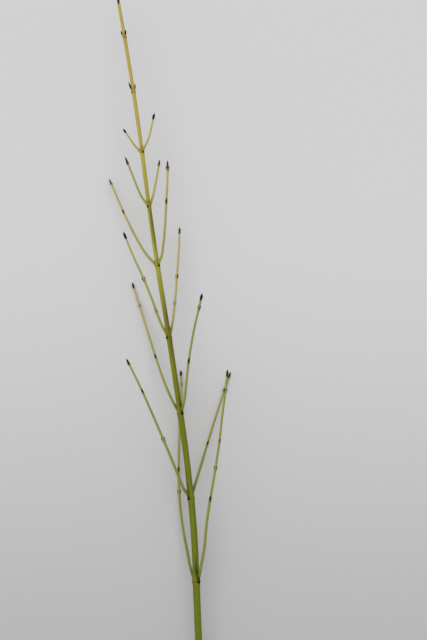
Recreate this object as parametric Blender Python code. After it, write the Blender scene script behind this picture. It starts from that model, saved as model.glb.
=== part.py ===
"""Yellow-twig dogwood stem: one cut shoot lying on its butt and two of its side twigs.

The shoot runs along +Y, butt end at -Y and leading bud at +Y, with +X on its right hand
and +Z up. Side twigs and buds stand in opposite pairs, each pair turned a quarter from
the one below it, so one twig of a pair rises and the other reaches down to the surface.
The origin is the middle of the shoot's footprint, on the surface it lies on.
"""

from dataclasses import dataclass
from math import cos, pi, radians, sin

import bmesh
import bpy
import numpy as np
from mathutils import Vector

# All sizes below are millimetres; MM turns them into Blender's metres.
MM = 0.001

# ---- Driving dimensions -------------------------------------------------------------------

STEM_LENGTH = 1009.0        # butt heel to the tip of the leading bud
CUT_ANGLE = radians(40)     # slanting cut across the butt, measured from the axis
CUT_SPARE = 4.0             # length of tube beyond the heel that the cut takes off

STEM_SIDES = 3              # bevel resolution of the main stem: 10 sides
TWIG_SIDES = 2              # 8 sides
BUD_SIDES = 1               # 6 sides
STEM_STEP = 30.0            # longest stretch between two rings of the main stem
TWIG_STEP = 14.0

NODE_SWELLING = 0.12        # share of the radius that a node adds
NODE_REACH = 5.0            # half length of that swelling
ABOVE_NODE = 0.88           # radius just above a node, as a share of the radius just below it
STEP_REACH = 1.5            # half of the length over which the stem steps in at a node
RING_HEIGHT = 0.30          # the fine ridge that the leaf scars leave round a node
RING_REACH = 1.0
RING_DROP = 2.5             # how far below the node's middle the ridge runs
BASE_FLARE = 0.35           # share of the radius that a twig adds where it leaves the stem
BASE_REACH = 5.0
TWIG_SWELLING = 0.14        # share of the radius at a twig's own bud pairs
TWIG_NODE_REACH = 2.0

CLEARANCE = 0.3             # gap between the main stem and a twig's base
SHARP_ANGLE = radians(50)   # edges sharper than this stay crisp when the bark is shaded smooth

# Outline of a resting bud: share of its length, share of the twig's radius under it.
BUD_OUTLINE = ((0.0, 0.86), (0.08, 1.04), (0.28, 1.12), (0.52, 0.98), (0.76, 0.58), (1.0, 0.14))
# Outline of a small side bud pressed against the bark, in shares of its length and width.
SIDE_BUD_OUTLINE = ((0.0, 0.70), (0.30, 1.0), (0.68, 0.70), (1.0, 0.12))
SIDE_BUD_LEAN = radians(14)


@dataclass(frozen=True)
class StemNode:
    """Where a pair of leaves grew: its middle on the stem's axis and the radius just below."""

    side: float
    along: float
    lift: float
    radius: float


@dataclass(frozen=True)
class Bow:
    """A point that the stem's axis passes between two nodes that it doesn't join straight."""

    side: float
    along: float
    lift: float


BUTT = StemNode(0, 0, 5.25, 5.2)
LOWER_BARE_NODE = StemNode(-1.5, 96, 12.0, 5.0)
UPPER_BARE_NODE = StemNode(-6.8, 203, 20.0, 4.7)
TWIG_NODES = (
    StemNode(-11, 307, 28.0, 4.35),
    StemNode(-17.2, 408, 35.5, 4.05),
    StemNode(-30.2, 512, 41.5, 3.65),
    StemNode(-43.5, 602, 46.3, 3.30),
    StemNode(-57.2, 688, 49.0, 2.80),
    StemNode(-67.3, 758, 50.0, 2.52),
    StemNode(-75.5, 823, 50.0, 2.42),
)
LOWER_BUD_NODE = StemNode(-85.7, 894, 48.5, 2.30)
UPPER_BUD_NODE = StemNode(-96.5, 960, 46.1, 2.15)
LEADING_BUD_BASE = StemNode(-103.5, 1000, 44.3, 1.80)
LEADING_BUD_TIP = StemNode(-105.0, STEM_LENGTH, 44.0, 1.80)
LOW_BOW = Bow(-13, 357, 31.9)
MID_BOW = Bow(-23.5, 465, 38.8)


@dataclass(frozen=True)
class Twig:
    """A side twig: its name, its stem node, its route and what grows on it.

    The route's points are (side, along, lift) from the node's middle, the first just beyond
    the bark and the last at the tip of the closing bud. A bud pair is its place, as a share
    of the route's length, and its turn round the twig, in degrees from the surface's plane.
    """

    name: str
    node: int
    route: tuple
    base_radius: float
    tip_radius: float
    bud_length: float
    bud_pairs: tuple = ()


TWIGS = (
    Twig("twig_1_left", 0, ((-5, 9, -2.2), (-11, 35, -7.5), (-17.5, 70, -13), (-21, 107, -18),
                            (-21.5, 140, -21.3), (-20.3, 184, -24.7), (-18.3, 222, -26.1),
                            (-19, 253, -26.5)), 1.55, 1.05, 8.0, ((0.42, 15), (0.52, 105), (0.93, 15))),
    Twig("twig_1_right", 0, ((3.4, 6, 1.8), (7, 24, 6), (10.2, 42, 10.3), (12.1, 66, 15.7),
                             (16.8, 99, 23), (23.4, 139, 31), (28, 171, 37), (30.8, 197, 41.2),
                             (35.2, 232, 46), (37.6, 256, 48)),
         1.6, 1.05, 8.0, ((0.385, 100), (0.54, 5), (0.67, 60), (0.90, 150))),
    Twig("twig_2_left", 1, ((-4.4, 2.5, 1.4), (-14.2, 25, 7.3), (-27.8, 59, 15.7),
                            (-42.8, 95, 23.9), (-57.4, 129, 30.3), (-76.2, 168, 35.5)),
         1.55, 1.05, 8.5, ((0.42, 5), (0.76, 80))),
    Twig("twig_2_right", 1, ((3.3, 10, -3.5), (11.3, 35.5, -12), (20, 64, -20),
                             (32.6, 104, -28.9), (40.6, 128, -32.6), (48, 150, -34.5)),
         1.5, 1.0, 8.0, ((0.42, 90), (0.84, 10))),
    Twig("twig_3_left", 2, ((-3.6, 1.6, -1.4), (-11.2, 16, -7.3), (-23.1, 44.5, -17.4),
                            (-31, 67.5, -24.6), (-43, 104.5, -33.4), (-50.2, 127, -37.4),
                            (-57.5, 149, -40), (-59, 155.5, -40.3)),
         1.45, 1.0, 7.5, ((0.43, 120), (0.82, 60))),
    Twig("twig_3_right", 2, ((3.9, 5.2, 2.4), (6.2, 21.5, 8.5), (10.7, 60.5, 22),
                             (17.7, 101, 33.8), (22.7, 122, 38.7), (26.9, 141, 41.5)),
         1.45, 1.0, 8.0, ((0.42, 90), (0.87, 30))),
    Twig("twig_4_left", 3, ((-3.9, 4.8, 1.7), (-12.4, 23, 6.9), (-18.3, 40, 11.4),
                            (-29.4, 68, 18.2), (-43.8, 100, 24.7), (-53.2, 124, 27.7)),
         1.4, 1.0, 8.0, ((0.25, 80), (0.54, 165))),
    Twig("twig_4_right", 3, ((2.3, 7.2, -2), (7, 40, -10.2), (9.5, 75, -18),
                             (12, 115.5, -24.7), (12.4, 132, -26.3)),
         1.35, 0.95, 7.5, ((0.30, 90), (0.54, 15))),
    Twig("twig_5_left", 4, ((-4.4, 0.8, -2), (-14.8, 13.8, -9), (-30.2, 40, -20.8),
                            (-42, 64, -29.8), (-52.7, 88.5, -37), (-60.1, 105.5, -40)),
         1.4, 1.05, 8.0, ((0.63, 100),)),
    Twig("twig_5_right", 4, ((3.4, 2.6, 1.4), (6.9, 20.6, 7.5), (9.5, 44.6, 15), (11.3, 74, 23.1),
                             (12.9, 104, 29.7), (13, 121.5, 32)),
         1.35, 1.15, 9.0, ((0.61, 90), (0.915, 5))),
    Twig("twig_6_left", 5, ((-4, 2, 1.7), (-9.8, 12.7, 6), (-20.4, 39, 14.4), (-27.7, 57, 18)),
         1.25, 1.05, 8.0),
    Twig("twig_6_right", 5, ((2.6, 2.2, -1.5), (6, 18, -7.5), (8.7, 32.4, -12.5), (12.4, 56.3, -18)),
         1.2, 1.0, 7.5),
    Twig("twig_7_left", 6, ((-3.7, 0.7, -2), (-12.2, 12, -8), (-23.3, 28.5, -14)), 1.05, 0.9, 6.5),
    Twig("twig_7_right", 6, ((2.6, 0.9, 1.4), (9.6, 20, 9.6), (15.5, 43.8, 18)), 1.05, 0.9, 7.5),
)


@dataclass(frozen=True)
class SideBud:
    """A bud on the main stem: its node, its turn round the stem from +X, its size."""

    node: StemNode
    turn: float
    length: float
    width: float


STEM_BUDS = (
    SideBud(UPPER_BUD_NODE, 35, 5.5, 1.1),
    SideBud(UPPER_BUD_NODE, 205, 6.5, 1.2),
    SideBud(LOWER_BUD_NODE, -30, 7.0, 1.1),
    SideBud(LOWER_BUD_NODE, 155, 10.0, 1.2),
    SideBud(UPPER_BARE_NODE, -45, 4.0, 1.3),
    SideBud(UPPER_BARE_NODE, 135, 4.0, 1.3),
    SideBud(LOWER_BARE_NODE, 45, 3.5, 1.3),
    SideBud(LOWER_BARE_NODE, 225, 3.5, 1.3),
)
TWIG_BUD_LENGTH = 4.0
TWIG_BUD_WIDTH = 0.85       # widest radius of a small bud on a twig

STEM_BUD_SINK = 0.85        # where a bud's axis starts, as a share of the radius under it
TWIG_BUD_SINK = 0.75

STEM_BARK = (0.30, 0.32, 0.065)
LOW_TWIG_BARK = (0.19, 0.21, 0.055)
HIGH_TWIG_BARK = (0.33, 0.30, 0.12)
BARK_ROUGHNESS = 0.48


# ---- Routes and radii ---------------------------------------------------------------------

def knot_of(node):
    """The node's middle as a point."""
    return (node.side, node.along, node.lift)


def arc_length(points):
    """Distance walked along the points, from the first to each."""
    return np.concatenate(([0.0], np.cumsum(np.linalg.norm(np.diff(points, axis=0), axis=1))))


def smooth_route(knots, stations):
    """Points at the given distances on a cubic curve through the knots.

    Between two knots the curve is a Hermite cubic, and at a knot its direction is the mean
    of the chords on either side, each weighted by the length of the other.
    """
    knots = np.asarray(knots, dtype=float)
    at = arc_length(knots)
    span = np.diff(at)[:, None]
    chord = np.diff(knots, axis=0) / span
    slope = np.vstack((chord[:1], (chord[:-1] * span[1:] + chord[1:] * span[:-1])
                       / (span[:-1] + span[1:]), chord[-1:]))
    piece = np.clip(np.searchsorted(at, stations, side="right") - 1, 0, len(span) - 1)
    width = span[piece]
    t = (np.asarray(stations)[:, None] - at[piece][:, None]) / width
    return ((2 * t ** 3 - 3 * t ** 2 + 1) * knots[piece] + (t ** 3 - 2 * t ** 2 + t) * width * slope[piece]
            + (3 * t ** 2 - 2 * t ** 3) * knots[piece + 1] + (t ** 3 - t ** 2) * width * slope[piece + 1])


def bump(distance, reach):
    """A rounded hill, 1 in its middle and near 0 at twice its reach."""
    return np.exp(-(distance / reach) ** 2)


def fill_gaps(stations, longest):
    """The stations in order, with even steps added wherever two lie too far apart."""
    stations = np.unique(np.round(stations, 3))
    filled = [stations[:1]]
    for start, end in zip(stations[:-1], stations[1:]):
        steps = int(np.ceil((end - start) / longest))
        filled.append(np.linspace(start, end, steps + 1)[1:])
    return np.concatenate(filled)


# ---- Blender shapes -----------------------------------------------------------------------

def tube_mesh(name, points, radii, sides):
    """A closed round tube along the points, as the mesh of a bevelled curve with filled caps."""
    curve = bpy.data.curves.new(name, "CURVE")
    curve.dimensions = "3D"
    curve.bevel_depth = MM
    curve.bevel_resolution = sides
    curve.use_fill_caps = True
    spline = curve.splines.new("POLY")
    spline.points.add(len(points) - 1)
    flat = np.column_stack((np.asarray(points) * MM, np.ones(len(points))))
    spline.points.foreach_set("co", flat.ravel())
    spline.points.foreach_set("radius", np.asarray(radii, dtype=float))
    guide = bpy.data.objects.new(name, curve)
    bpy.context.scene.collection.objects.link(guide)
    evaluated = guide.evaluated_get(bpy.context.evaluated_depsgraph_get())
    mesh = bpy.data.meshes.new_from_object(evaluated)
    bpy.data.objects.remove(guide)
    return join_meshes(name, [mesh])


def join_meshes(name, meshes):
    """One mesh that holds the closed shells of several, welded and facing out."""
    bm = bmesh.new()
    for mesh in meshes:
        bm.from_mesh(mesh)
    bmesh.ops.remove_doubles(bm, verts=bm.verts, dist=1e-7)
    bmesh.ops.recalc_face_normals(bm, faces=bm.faces)
    joined = bpy.data.meshes.new(name)
    bm.to_mesh(joined)
    bm.free()
    return joined


def add_object(name, mesh, parent):
    """A named object for the mesh, carried by the parent."""
    obj = bpy.data.objects.new(name, mesh)
    bpy.context.scene.collection.objects.link(obj)
    obj.parent = parent
    return obj


def add_guide(name, mesh, parent):
    """A helper solid that shapes others and isn't part of the stem."""
    guide = add_object(name, mesh, parent)
    guide.hide_render = True
    guide.display_type = "WIRE"
    return guide


def add_boolean(obj, operation, other):
    """A Boolean of the object with another, by the exact solver."""
    modifier = obj.modifiers.new(operation.title(), "BOOLEAN")
    modifier.operation = operation
    modifier.solver = "EXACT"
    modifier.object = other


def bark_material(name, colour):
    """Smooth young bark of one colour."""
    material = bpy.data.materials.new(name)
    material.use_nodes = True
    shader = material.node_tree.nodes["Principled BSDF"]
    shader.inputs["Base Color"].default_value = (*colour, 1)
    shader.inputs["Roughness"].default_value = BARK_ROUGHNESS
    shader.inputs["Metallic"].default_value = 0.0
    return material


def side_bud_mesh(foot, along, outward, length, width):
    """A small bud whose foot is sunk in the bark and whose tip leans away from it."""
    direction = Vector(along) * cos(SIDE_BUD_LEAN) + Vector(outward) * sin(SIDE_BUD_LEAN)
    share, girth = np.array(SIDE_BUD_OUTLINE).T
    points = np.asarray(foot) + np.outer(share * length, np.array(direction))
    return tube_mesh("side_bud", points, girth * width, BUD_SIDES)


def outward_direction(along, turn):
    """The unit direction square to the given one, turned from the surface's plane.

    A turn of 0 lies level on the right-hand side, and a turn of 90 looks straight up.
    """
    along = Vector(along).normalized()
    level = along.cross(Vector((0, 0, 1))).normalized()
    upward = level.cross(along)
    return level * cos(radians(turn)) + upward * sin(radians(turn))


# ---- The main stem ------------------------------------------------------------------------

def stem_knots():
    """The stem's nodes and bows from the butt to the leading bud's base."""
    low, high = TWIG_NODES[0], TWIG_NODES[1]
    return (BUTT, LOWER_BARE_NODE, UPPER_BARE_NODE, low, LOW_BOW, high, MID_BOW,
            *TWIG_NODES[2:], LOWER_BUD_NODE, UPPER_BUD_NODE, LEADING_BUD_BASE)


def stem_rings(extra_radius=0.0):
    """Points and radii of the stem's tube, thickened by the extra radius."""
    nodes = stem_knots()
    knots = np.array([knot_of(node) for node in nodes])
    before_butt = knots[0] - CUT_SPARE * (knots[1] - knots[0]) / np.linalg.norm(knots[1] - knots[0])
    knots = np.vstack((before_butt, knots, knot_of(LEADING_BUD_TIP)))
    at = arc_length(knots)
    grown = [LOWER_BARE_NODE, UPPER_BARE_NODE, *TWIG_NODES, LOWER_BUD_NODE, UPPER_BUD_NODE]
    centres = np.array([at[1 + nodes.index(node)] for node in grown])

    bud_share, bud_girth = np.array(BUD_OUTLINE).T
    bud_stations = at[-2] + bud_share * (at[-1] - at[-2])
    on_swelling = NODE_REACH * np.array([-2, -1, 0.6, 1.6])
    on_ring = RING_REACH * np.array([-1, 0, 1]) - RING_DROP
    near_nodes = (centres[:, None] + np.concatenate((on_swelling, on_ring))).ravel()
    stations = fill_gaps(np.concatenate(([0.0], near_nodes, bud_stations)), STEM_STEP)

    girth_at, girth = [], []
    for node, centre in zip(nodes, at[1:-1]):
        if isinstance(node, StemNode):
            girth_at += [centre - STEP_REACH, centre + STEP_REACH]
            girth += [node.radius, node.radius * (ABOVE_NODE if node in grown else 1)]
    radii = np.interp(stations, girth_at, girth)
    offset = stations[:, None] - centres
    swelling = 1 + NODE_SWELLING * bump(offset, NODE_REACH).sum(axis=1)
    ridge = RING_HEIGHT * bump(offset + RING_DROP, RING_REACH).sum(axis=1)
    on_bud = np.interp(stations, bud_stations, bud_girth, left=1.0)
    return smooth_route(knots, stations), (radii * swelling + ridge) * on_bud + extra_radius


def stem_direction(node):
    """The stem's direction at a node, from the middles of the nodes on either side."""
    nodes = list(stem_knots()) + [LEADING_BUD_TIP]
    i = nodes.index(node)
    return (Vector(knot_of(nodes[i + 1])) - Vector(knot_of(nodes[i - 1]))).normalized()


def cut_butt(mesh):
    """Cuts the butt on a slant that rises from the heel on the surface, and closes it."""
    bm = bmesh.new()
    bm.from_mesh(mesh)
    cut = bmesh.ops.bisect_plane(bm, geom=bm.verts[:] + bm.edges[:] + bm.faces[:], dist=1e-7,
                                 plane_co=Vector((0, 0, 0)), clear_outer=True,
                                 plane_no=Vector((0, -sin(CUT_ANGLE), cos(CUT_ANGLE))))
    rim = [edge for edge in cut["geom_cut"] if isinstance(edge, bmesh.types.BMEdge)]
    bmesh.ops.contextual_create(bm, geom=rim)
    bmesh.ops.recalc_face_normals(bm, faces=bm.faces)
    bm.to_mesh(mesh)
    bm.free()


def make_stem(parent):
    """The main stem with its slanting cut, its nodes, its side buds and its leading bud."""
    points, radii = stem_rings()
    mesh = tube_mesh("main_stem", points, radii, STEM_SIDES)
    cut_butt(mesh)
    buds = []
    for bud in STEM_BUDS:
        along = stem_direction(bud.node)
        outward = outward_direction(along, bud.turn)
        foot = Vector(knot_of(bud.node)) + outward * bud.node.radius * STEM_BUD_SINK
        buds.append(side_bud_mesh(foot, along, outward, bud.length, bud.width))
    stem = add_object("main_stem", mesh, parent)
    stem.data.materials.append(bark_material("main_stem_bark", STEM_BARK))
    add_boolean(stem, "UNION", add_guide("stem_bud_guide", join_meshes("stem_buds", buds), parent))
    return stem


# ---- The side twigs -----------------------------------------------------------------------

def twig_knots(twig):
    """The twig's knots from the middle of its stem node to the tip of its closing bud."""
    start = np.array(knot_of(TWIG_NODES[twig.node]))
    return np.vstack((start, start + np.array(twig.route)))


def twig_rings(twig):
    """Points and radii of the twig's tube, with its flared base, bud nodes and closing bud."""
    knots = twig_knots(twig)
    length = arc_length(knots)[-1]
    bud_start = length - twig.bud_length
    bark_start = TWIG_NODES[twig.node].radius
    centres = np.array([share for share, _ in twig.bud_pairs]) * length

    bud_share, bud_girth = np.array(BUD_OUTLINE).T
    bud_stations = bud_start + bud_share * twig.bud_length
    base_stations = np.array([0.0, bark_start, bark_start + BASE_REACH])
    near_pairs = (centres[:, None] + np.array([-2, 0, 2]) * TWIG_NODE_REACH).ravel()
    near_pairs = near_pairs[near_pairs < bud_start - TWIG_NODE_REACH]
    stations = fill_gaps(np.concatenate((base_stations, near_pairs, bud_stations)), TWIG_STEP)

    radii = np.interp(stations, (0, bud_start), (twig.base_radius, twig.tip_radius))
    flare = 1 + BASE_FLARE * bump(np.maximum(stations - bark_start, 0), BASE_REACH)
    swelling = 1 + TWIG_SWELLING * bump(stations[:, None] - centres, TWIG_NODE_REACH).sum(axis=1)
    on_bud = np.interp(stations, bud_stations, bud_girth, left=1.0)
    return smooth_route(knots, stations), radii * flare * swelling * on_bud


def twig_buds(twig):
    """Meshes of the small buds that stand in opposite pairs along the twig."""
    knots = twig_knots(twig)
    length = arc_length(knots)[-1]
    buds = []
    for share, turn in twig.bud_pairs:
        ahead, here = smooth_route(knots, np.array([share * length + 1, share * length]))
        along = Vector(ahead - here).normalized()
        radius = twig.base_radius + share * (twig.tip_radius - twig.base_radius)
        for half_turn in (0, 180):
            outward = outward_direction(along, turn + half_turn)
            foot = Vector(here) + outward * radius * TWIG_BUD_SINK
            buds.append(side_bud_mesh(foot, along, outward, TWIG_BUD_LENGTH, TWIG_BUD_WIDTH))
    return buds


def twig_colour(twig):
    """The twig's bark colour, from green at the lowest pair to tan at the highest."""
    height = twig.node / (len(TWIG_NODES) - 1)
    return tuple(low + (high - low) * height for low, high in zip(LOW_TWIG_BARK, HIGH_TWIG_BARK))


def make_twig(twig, parent, clearance):
    """One side twig, fused with its buds and parted from the main stem's bark."""
    points, radii = twig_rings(twig)
    obj = add_object(twig.name, tube_mesh(twig.name, points, radii, TWIG_SIDES), parent)
    obj.data.materials.append(bark_material(f"{twig.name}_bark", twig_colour(twig)))
    buds = twig_buds(twig)
    if buds:
        guide = add_guide(f"{twig.name}_bud_guide", join_meshes(f"{twig.name}_buds", buds), parent)
        add_boolean(obj, "UNION", guide)
    add_boolean(obj, "DIFFERENCE", clearance)
    return obj


# ---- The whole shoot ----------------------------------------------------------------------

def centre_on_footprint(frame, pieces):
    """Moves the shoot so that the origin is the middle of its footprint, on the surface."""
    bpy.context.view_layer.update()
    depsgraph = bpy.context.evaluated_depsgraph_get()
    corners = []
    for piece in pieces:
        evaluated = piece.evaluated_get(depsgraph)
        co = np.empty(len(evaluated.data.vertices) * 3)
        evaluated.data.vertices.foreach_get("co", co)
        corners += [co.reshape(-1, 3).min(axis=0), co.reshape(-1, 3).max(axis=0)]
    low, high = np.min(corners, axis=0), np.max(corners, axis=0)
    frame.location = (-(low[0] + high[0]) / 2, -(low[1] + high[1]) / 2, -low[2])


def main():
    """Builds the main stem, then its twigs from the butt upwards, and sets the origin."""
    for old in list(bpy.data.objects):
        bpy.data.objects.remove(old)
    frame = bpy.data.objects.new("stem_frame", None)
    bpy.context.scene.collection.objects.link(frame)

    pieces = [make_stem(frame)]
    points, radii = stem_rings(extra_radius=CLEARANCE)
    clearance = add_guide("stem_clearance_guide",
                          tube_mesh("stem_clearance", points, radii, STEM_SIDES), frame)
    pieces += [make_twig(twig, frame, clearance) for twig in TWIGS]
    for piece in pieces:
        piece.data.shade_smooth()
        piece.data.set_sharp_from_angle(angle=SHARP_ANGLE)
    centre_on_footprint(frame, pieces)


main()
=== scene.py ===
"""Yellow-twig dogwood stem: the bark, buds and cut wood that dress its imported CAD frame.

Every rod of the frame, the main stem and each side twig, is sliced to find its middle line
and girth. New surfaces are then carried along those lines. Lengths are in millimetres until
a mesh is written, and MM turns them into Blender's metres.
"""

import logging
from dataclasses import dataclass, replace
from enum import Enum
from functools import cached_property, reduce
from math import cos, pi, radians, sin

import bpy
import numpy as np
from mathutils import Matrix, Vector

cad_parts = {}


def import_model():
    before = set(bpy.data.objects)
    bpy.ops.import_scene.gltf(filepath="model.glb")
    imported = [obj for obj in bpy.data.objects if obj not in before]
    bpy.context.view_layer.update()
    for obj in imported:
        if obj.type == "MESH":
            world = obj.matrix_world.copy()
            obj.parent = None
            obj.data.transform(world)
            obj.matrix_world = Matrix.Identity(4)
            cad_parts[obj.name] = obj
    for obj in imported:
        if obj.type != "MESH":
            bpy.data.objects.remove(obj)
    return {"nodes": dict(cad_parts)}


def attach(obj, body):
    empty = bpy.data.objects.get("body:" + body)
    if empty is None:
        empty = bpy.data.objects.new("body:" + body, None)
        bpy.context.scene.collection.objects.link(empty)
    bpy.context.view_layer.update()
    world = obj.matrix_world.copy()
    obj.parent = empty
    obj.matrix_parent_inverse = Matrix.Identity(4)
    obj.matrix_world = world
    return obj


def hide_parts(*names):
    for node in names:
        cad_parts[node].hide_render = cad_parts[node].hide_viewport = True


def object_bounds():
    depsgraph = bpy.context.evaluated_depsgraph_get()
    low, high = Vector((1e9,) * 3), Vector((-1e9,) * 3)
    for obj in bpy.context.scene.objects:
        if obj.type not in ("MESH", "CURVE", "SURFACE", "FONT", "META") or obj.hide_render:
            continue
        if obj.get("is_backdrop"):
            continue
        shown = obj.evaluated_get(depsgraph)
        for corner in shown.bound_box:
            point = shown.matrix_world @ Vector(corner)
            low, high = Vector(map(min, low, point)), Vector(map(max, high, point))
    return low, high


MM = 0.001  # metres in a millimetre
BODY = "root"  # the frame's only body
UP = np.array((0.0, 0.0, 1.0))
RULER_STEP = 0.1  # steps in which a rod's length is measured out for its rings
STRIDE = 0.5  # steps along a line for its headings and for the place where a twig comes out
NEWTON_STEPS = 4  # steps that find the cut
TWIG_PATTERN = 1200.0  # where the first twig begins in the pattern, past the stem
PATTERN_GAP = 350.0  # how far apart the twigs begin in it

Array = np.ndarray
Colour = tuple[float, float, float, float]
Point = tuple[float, float, float]
Ramp = tuple[tuple[float, Colour], ...]

log = logging.getLogger("dogwood")


class Slot(Enum):
    """The record's material slots, one for each finish."""

    STEM_BARK = "stem_bark"
    TWIG_BARK = "twig_bark"
    BUD_SCALES = "bud_scales"
    CUT_WOOD = "cut_wood"


# ---- Curves and numbers -------------------------------------------------------------------


def walked(points: Array) -> Array:
    """Distance walked from the first point to each, as the running sum of the steps.

    Args:
        points: Points in order, one a row.

    Returns:
        One distance for each point, 0 at the first.
    """
    steps = np.linalg.norm(np.diff(points, axis=0), axis=1)
    return np.concatenate(([0.0], np.cumsum(steps)))


def smooth_through(places: Array, values: Array, wanted: Array) -> Array:
    """Values at the wanted places on a cubic curve through the known ones.

    Between two known places the curve is a Hermite cubic. Its slope at a known place is the
    mean of the slopes on either side, each weighted by the length of the other.

    Args:
        places: Increasing positions of the known values.
        values: Known values, one a row, each a number or a point.
        wanted: Positions to work out, of any shape.

    Returns:
        The values, in the shape of wanted with a value's own shape behind it.
    """
    known = values.reshape(len(values), -1)
    span = np.diff(places)[:, None]
    slope = np.diff(known, axis=0) / span
    inner = (slope[:-1] * span[1:] + slope[1:] * span[:-1]) / (span[:-1] + span[1:])
    slope = np.vstack((slope[:1], inner, slope[-1:]))
    flat = np.ravel(wanted)
    piece = np.clip(np.searchsorted(places, flat, side="right") - 1, 0, len(span) - 1)
    width = span[piece]
    share = (flat[:, None] - places[piece][:, None]) / width
    curve = (
        (2 * share**3 - 3 * share**2 + 1) * known[piece]
        + (share**3 - 2 * share**2 + share) * width * slope[piece]
        + (3 * share**2 - 2 * share**3) * known[piece + 1]
        + (share**3 - share**2) * width * slope[piece + 1]
    )
    return curve.reshape(np.shape(wanted) + values.shape[1:])


def hill(distance: Array, reach: float | Array) -> Array:
    """A rounded hill: e to minus the square of distance over reach."""
    return np.exp(-((distance / reach) ** 2))


def eased(share: Array) -> Array:
    """0 below 0, 1 above 1, and three squares less two cubes in between."""
    share = np.clip(share, 0.0, 1.0)
    return share**2 * (3 - 2 * share)


def wrapped(angle: Array) -> Array:
    """The same angle between minus and plus half a turn."""
    return (angle + pi) % (2 * pi) - pi


def unit(vectors: Array) -> Array:
    """Vectors in the same directions, each one long."""
    return vectors / np.linalg.norm(vectors, axis=-1, keepdims=True)


def all_round(columns: int) -> Array:
    """The angles of a ring's points, evenly spaced from 0."""
    return np.arange(columns) * 2 * pi / columns


def sides_of(along: Array, reference: Array = UP) -> tuple[Array, Array]:
    """Two directions square to a run and to each other, the second nearest the reference.

    Args:
        along: Unit vectors along the run.
        reference: The direction that the second should lean to.

    Returns:
        The level directions, along times reference, and the upward ones, level times along.
    """
    level = unit(np.cross(along, reference))
    return level, np.cross(level, along)


def square_to(vectors: Array, run: Array) -> Array:
    """The parts of vectors that are square to a run, which is a unit vector."""
    return vectors - (vectors @ run)[..., None] * run


@dataclass(frozen=True)
class Spacing:
    """How closely a rod's rings follow each other.

    Attributes:
        coarse: Spacing far from the centres of interest.
        fine: Spacing at them.
        reach: How far round them the rings are finer.
    """

    coarse: float
    fine: float
    reach: float

    def rings(self, length: float, centres: Array) -> Array:
        """Distances along a rod, closer together near its centres of interest.

        The spacing falls from coarse to fine on a hill round each centre. The running sum of
        ruler steps over spacing counts the rings, and the ruler is read where the count is a
        whole number of equal parts.

        Args:
            length: Distance at which the rod ends.
            centres: Distances of the centres.

        Returns:
            Increasing distances from 0 to length.
        """
        ruler = np.linspace(0.0, length, int(length / RULER_STEP) + 2)
        near = hill(ruler[:, None] - centres, self.reach).max(axis=1, initial=0.0)
        spacing = self.coarse - (self.coarse - self.fine) * near
        count = np.concatenate(([0.0], np.cumsum(np.diff(ruler) / spacing[1:])))
        return np.interp(np.linspace(0.0, count[-1], int(count[-1]) + 2), count, ruler)


# ---- Reading the CAD frame ----------------------------------------------------------------


@dataclass(frozen=True)
class Shell:
    """The triangles of a closed CAD solid, in millimetres.

    Attributes:
        corners: Three corners for each triangle.
    """

    corners: Array

    @classmethod
    def of(cls, obj: bpy.types.Object) -> "Shell":
        """Reads a CAD node's mesh.

        Args:
            obj: The node's object, which stays as it is.

        Returns:
            Its triangles' corners.
        """
        mesh = obj.data
        mesh.calc_loop_triangles()
        places = np.empty(len(mesh.vertices) * 3, np.float32)
        mesh.vertices.foreach_get("co", places)
        order = np.empty(len(mesh.loop_triangles) * 3, np.int32)
        mesh.loop_triangles.foreach_get("vertices", order)
        return cls(places.reshape(-1, 3)[order].reshape(-1, 3, 3).astype(float) / MM)

    @property
    def points(self) -> Array:
        """All corners in one list."""
        return self.corners.reshape(-1, 3)

    def end(self, run: Array, depth: float) -> Array:
        """The middle of the corners within a depth of the solid's far end along a run."""
        height = self.points @ run
        return self.points[height > height.max() - depth].mean(axis=0)

    def cuts(self, run: Array, heights: Array) -> tuple[Array, Array]:
        """Middles and areas of flat cuts square to a run.

        A cut crosses a triangle on the two sides that meet at the corner standing alone, and
        the line between those two crossings is one piece of the cut's outline. The area is
        half the sum of the pieces' cross products, and the middle is a sixth of the sum of
        both ends times cross product, over the area.

        Args:
            run: Unit vector square to the cuts.
            heights: Where the cuts are along it.

        Returns:
            The middles, one a row, and the areas.
        """
        level, upward = sides_of(run)
        local = self.corners @ np.column_stack((level, upward, run))
        above = local[None, :, :, 2] > heights[:, None, None]
        count = above.sum(axis=2)
        lone = np.where(count == 1, above.argmax(axis=2), (~above).argmax(axis=2))
        faces = np.arange(len(local))[None]
        alone, second, third = (local[faces, (lone + step) % 3] for step in range(3))
        crossed = (count == 1) | (count == 2)

        def meeting(other: Array) -> Array:
            """Where the cut crosses the side from the lone corner to another.

            Args:
                other: The other corner of each triangle.

            Returns:
                The crossings, in the cut's own plane.
            """
            drop = np.where(crossed, other[..., 2] - alone[..., 2], 1.0)
            share = (heights[:, None] - alone[..., 2]) / drop
            return (alone + (other - alone) * share[..., None])[..., :2]

        start, stop = meeting(second), meeting(third)
        turn = start[..., 0] * stop[..., 1] - start[..., 1] * stop[..., 0]
        turn = np.where(crossed, turn * np.where(count == 1, 1, -1), 0.0)
        area = turn.sum(axis=1) / 2
        middle = ((start + stop) * turn[..., None]).sum(axis=1) / (6 * area[:, None])
        places = middle @ np.vstack((level, upward)) + heights[:, None] * run
        return places, np.abs(area)


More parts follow.
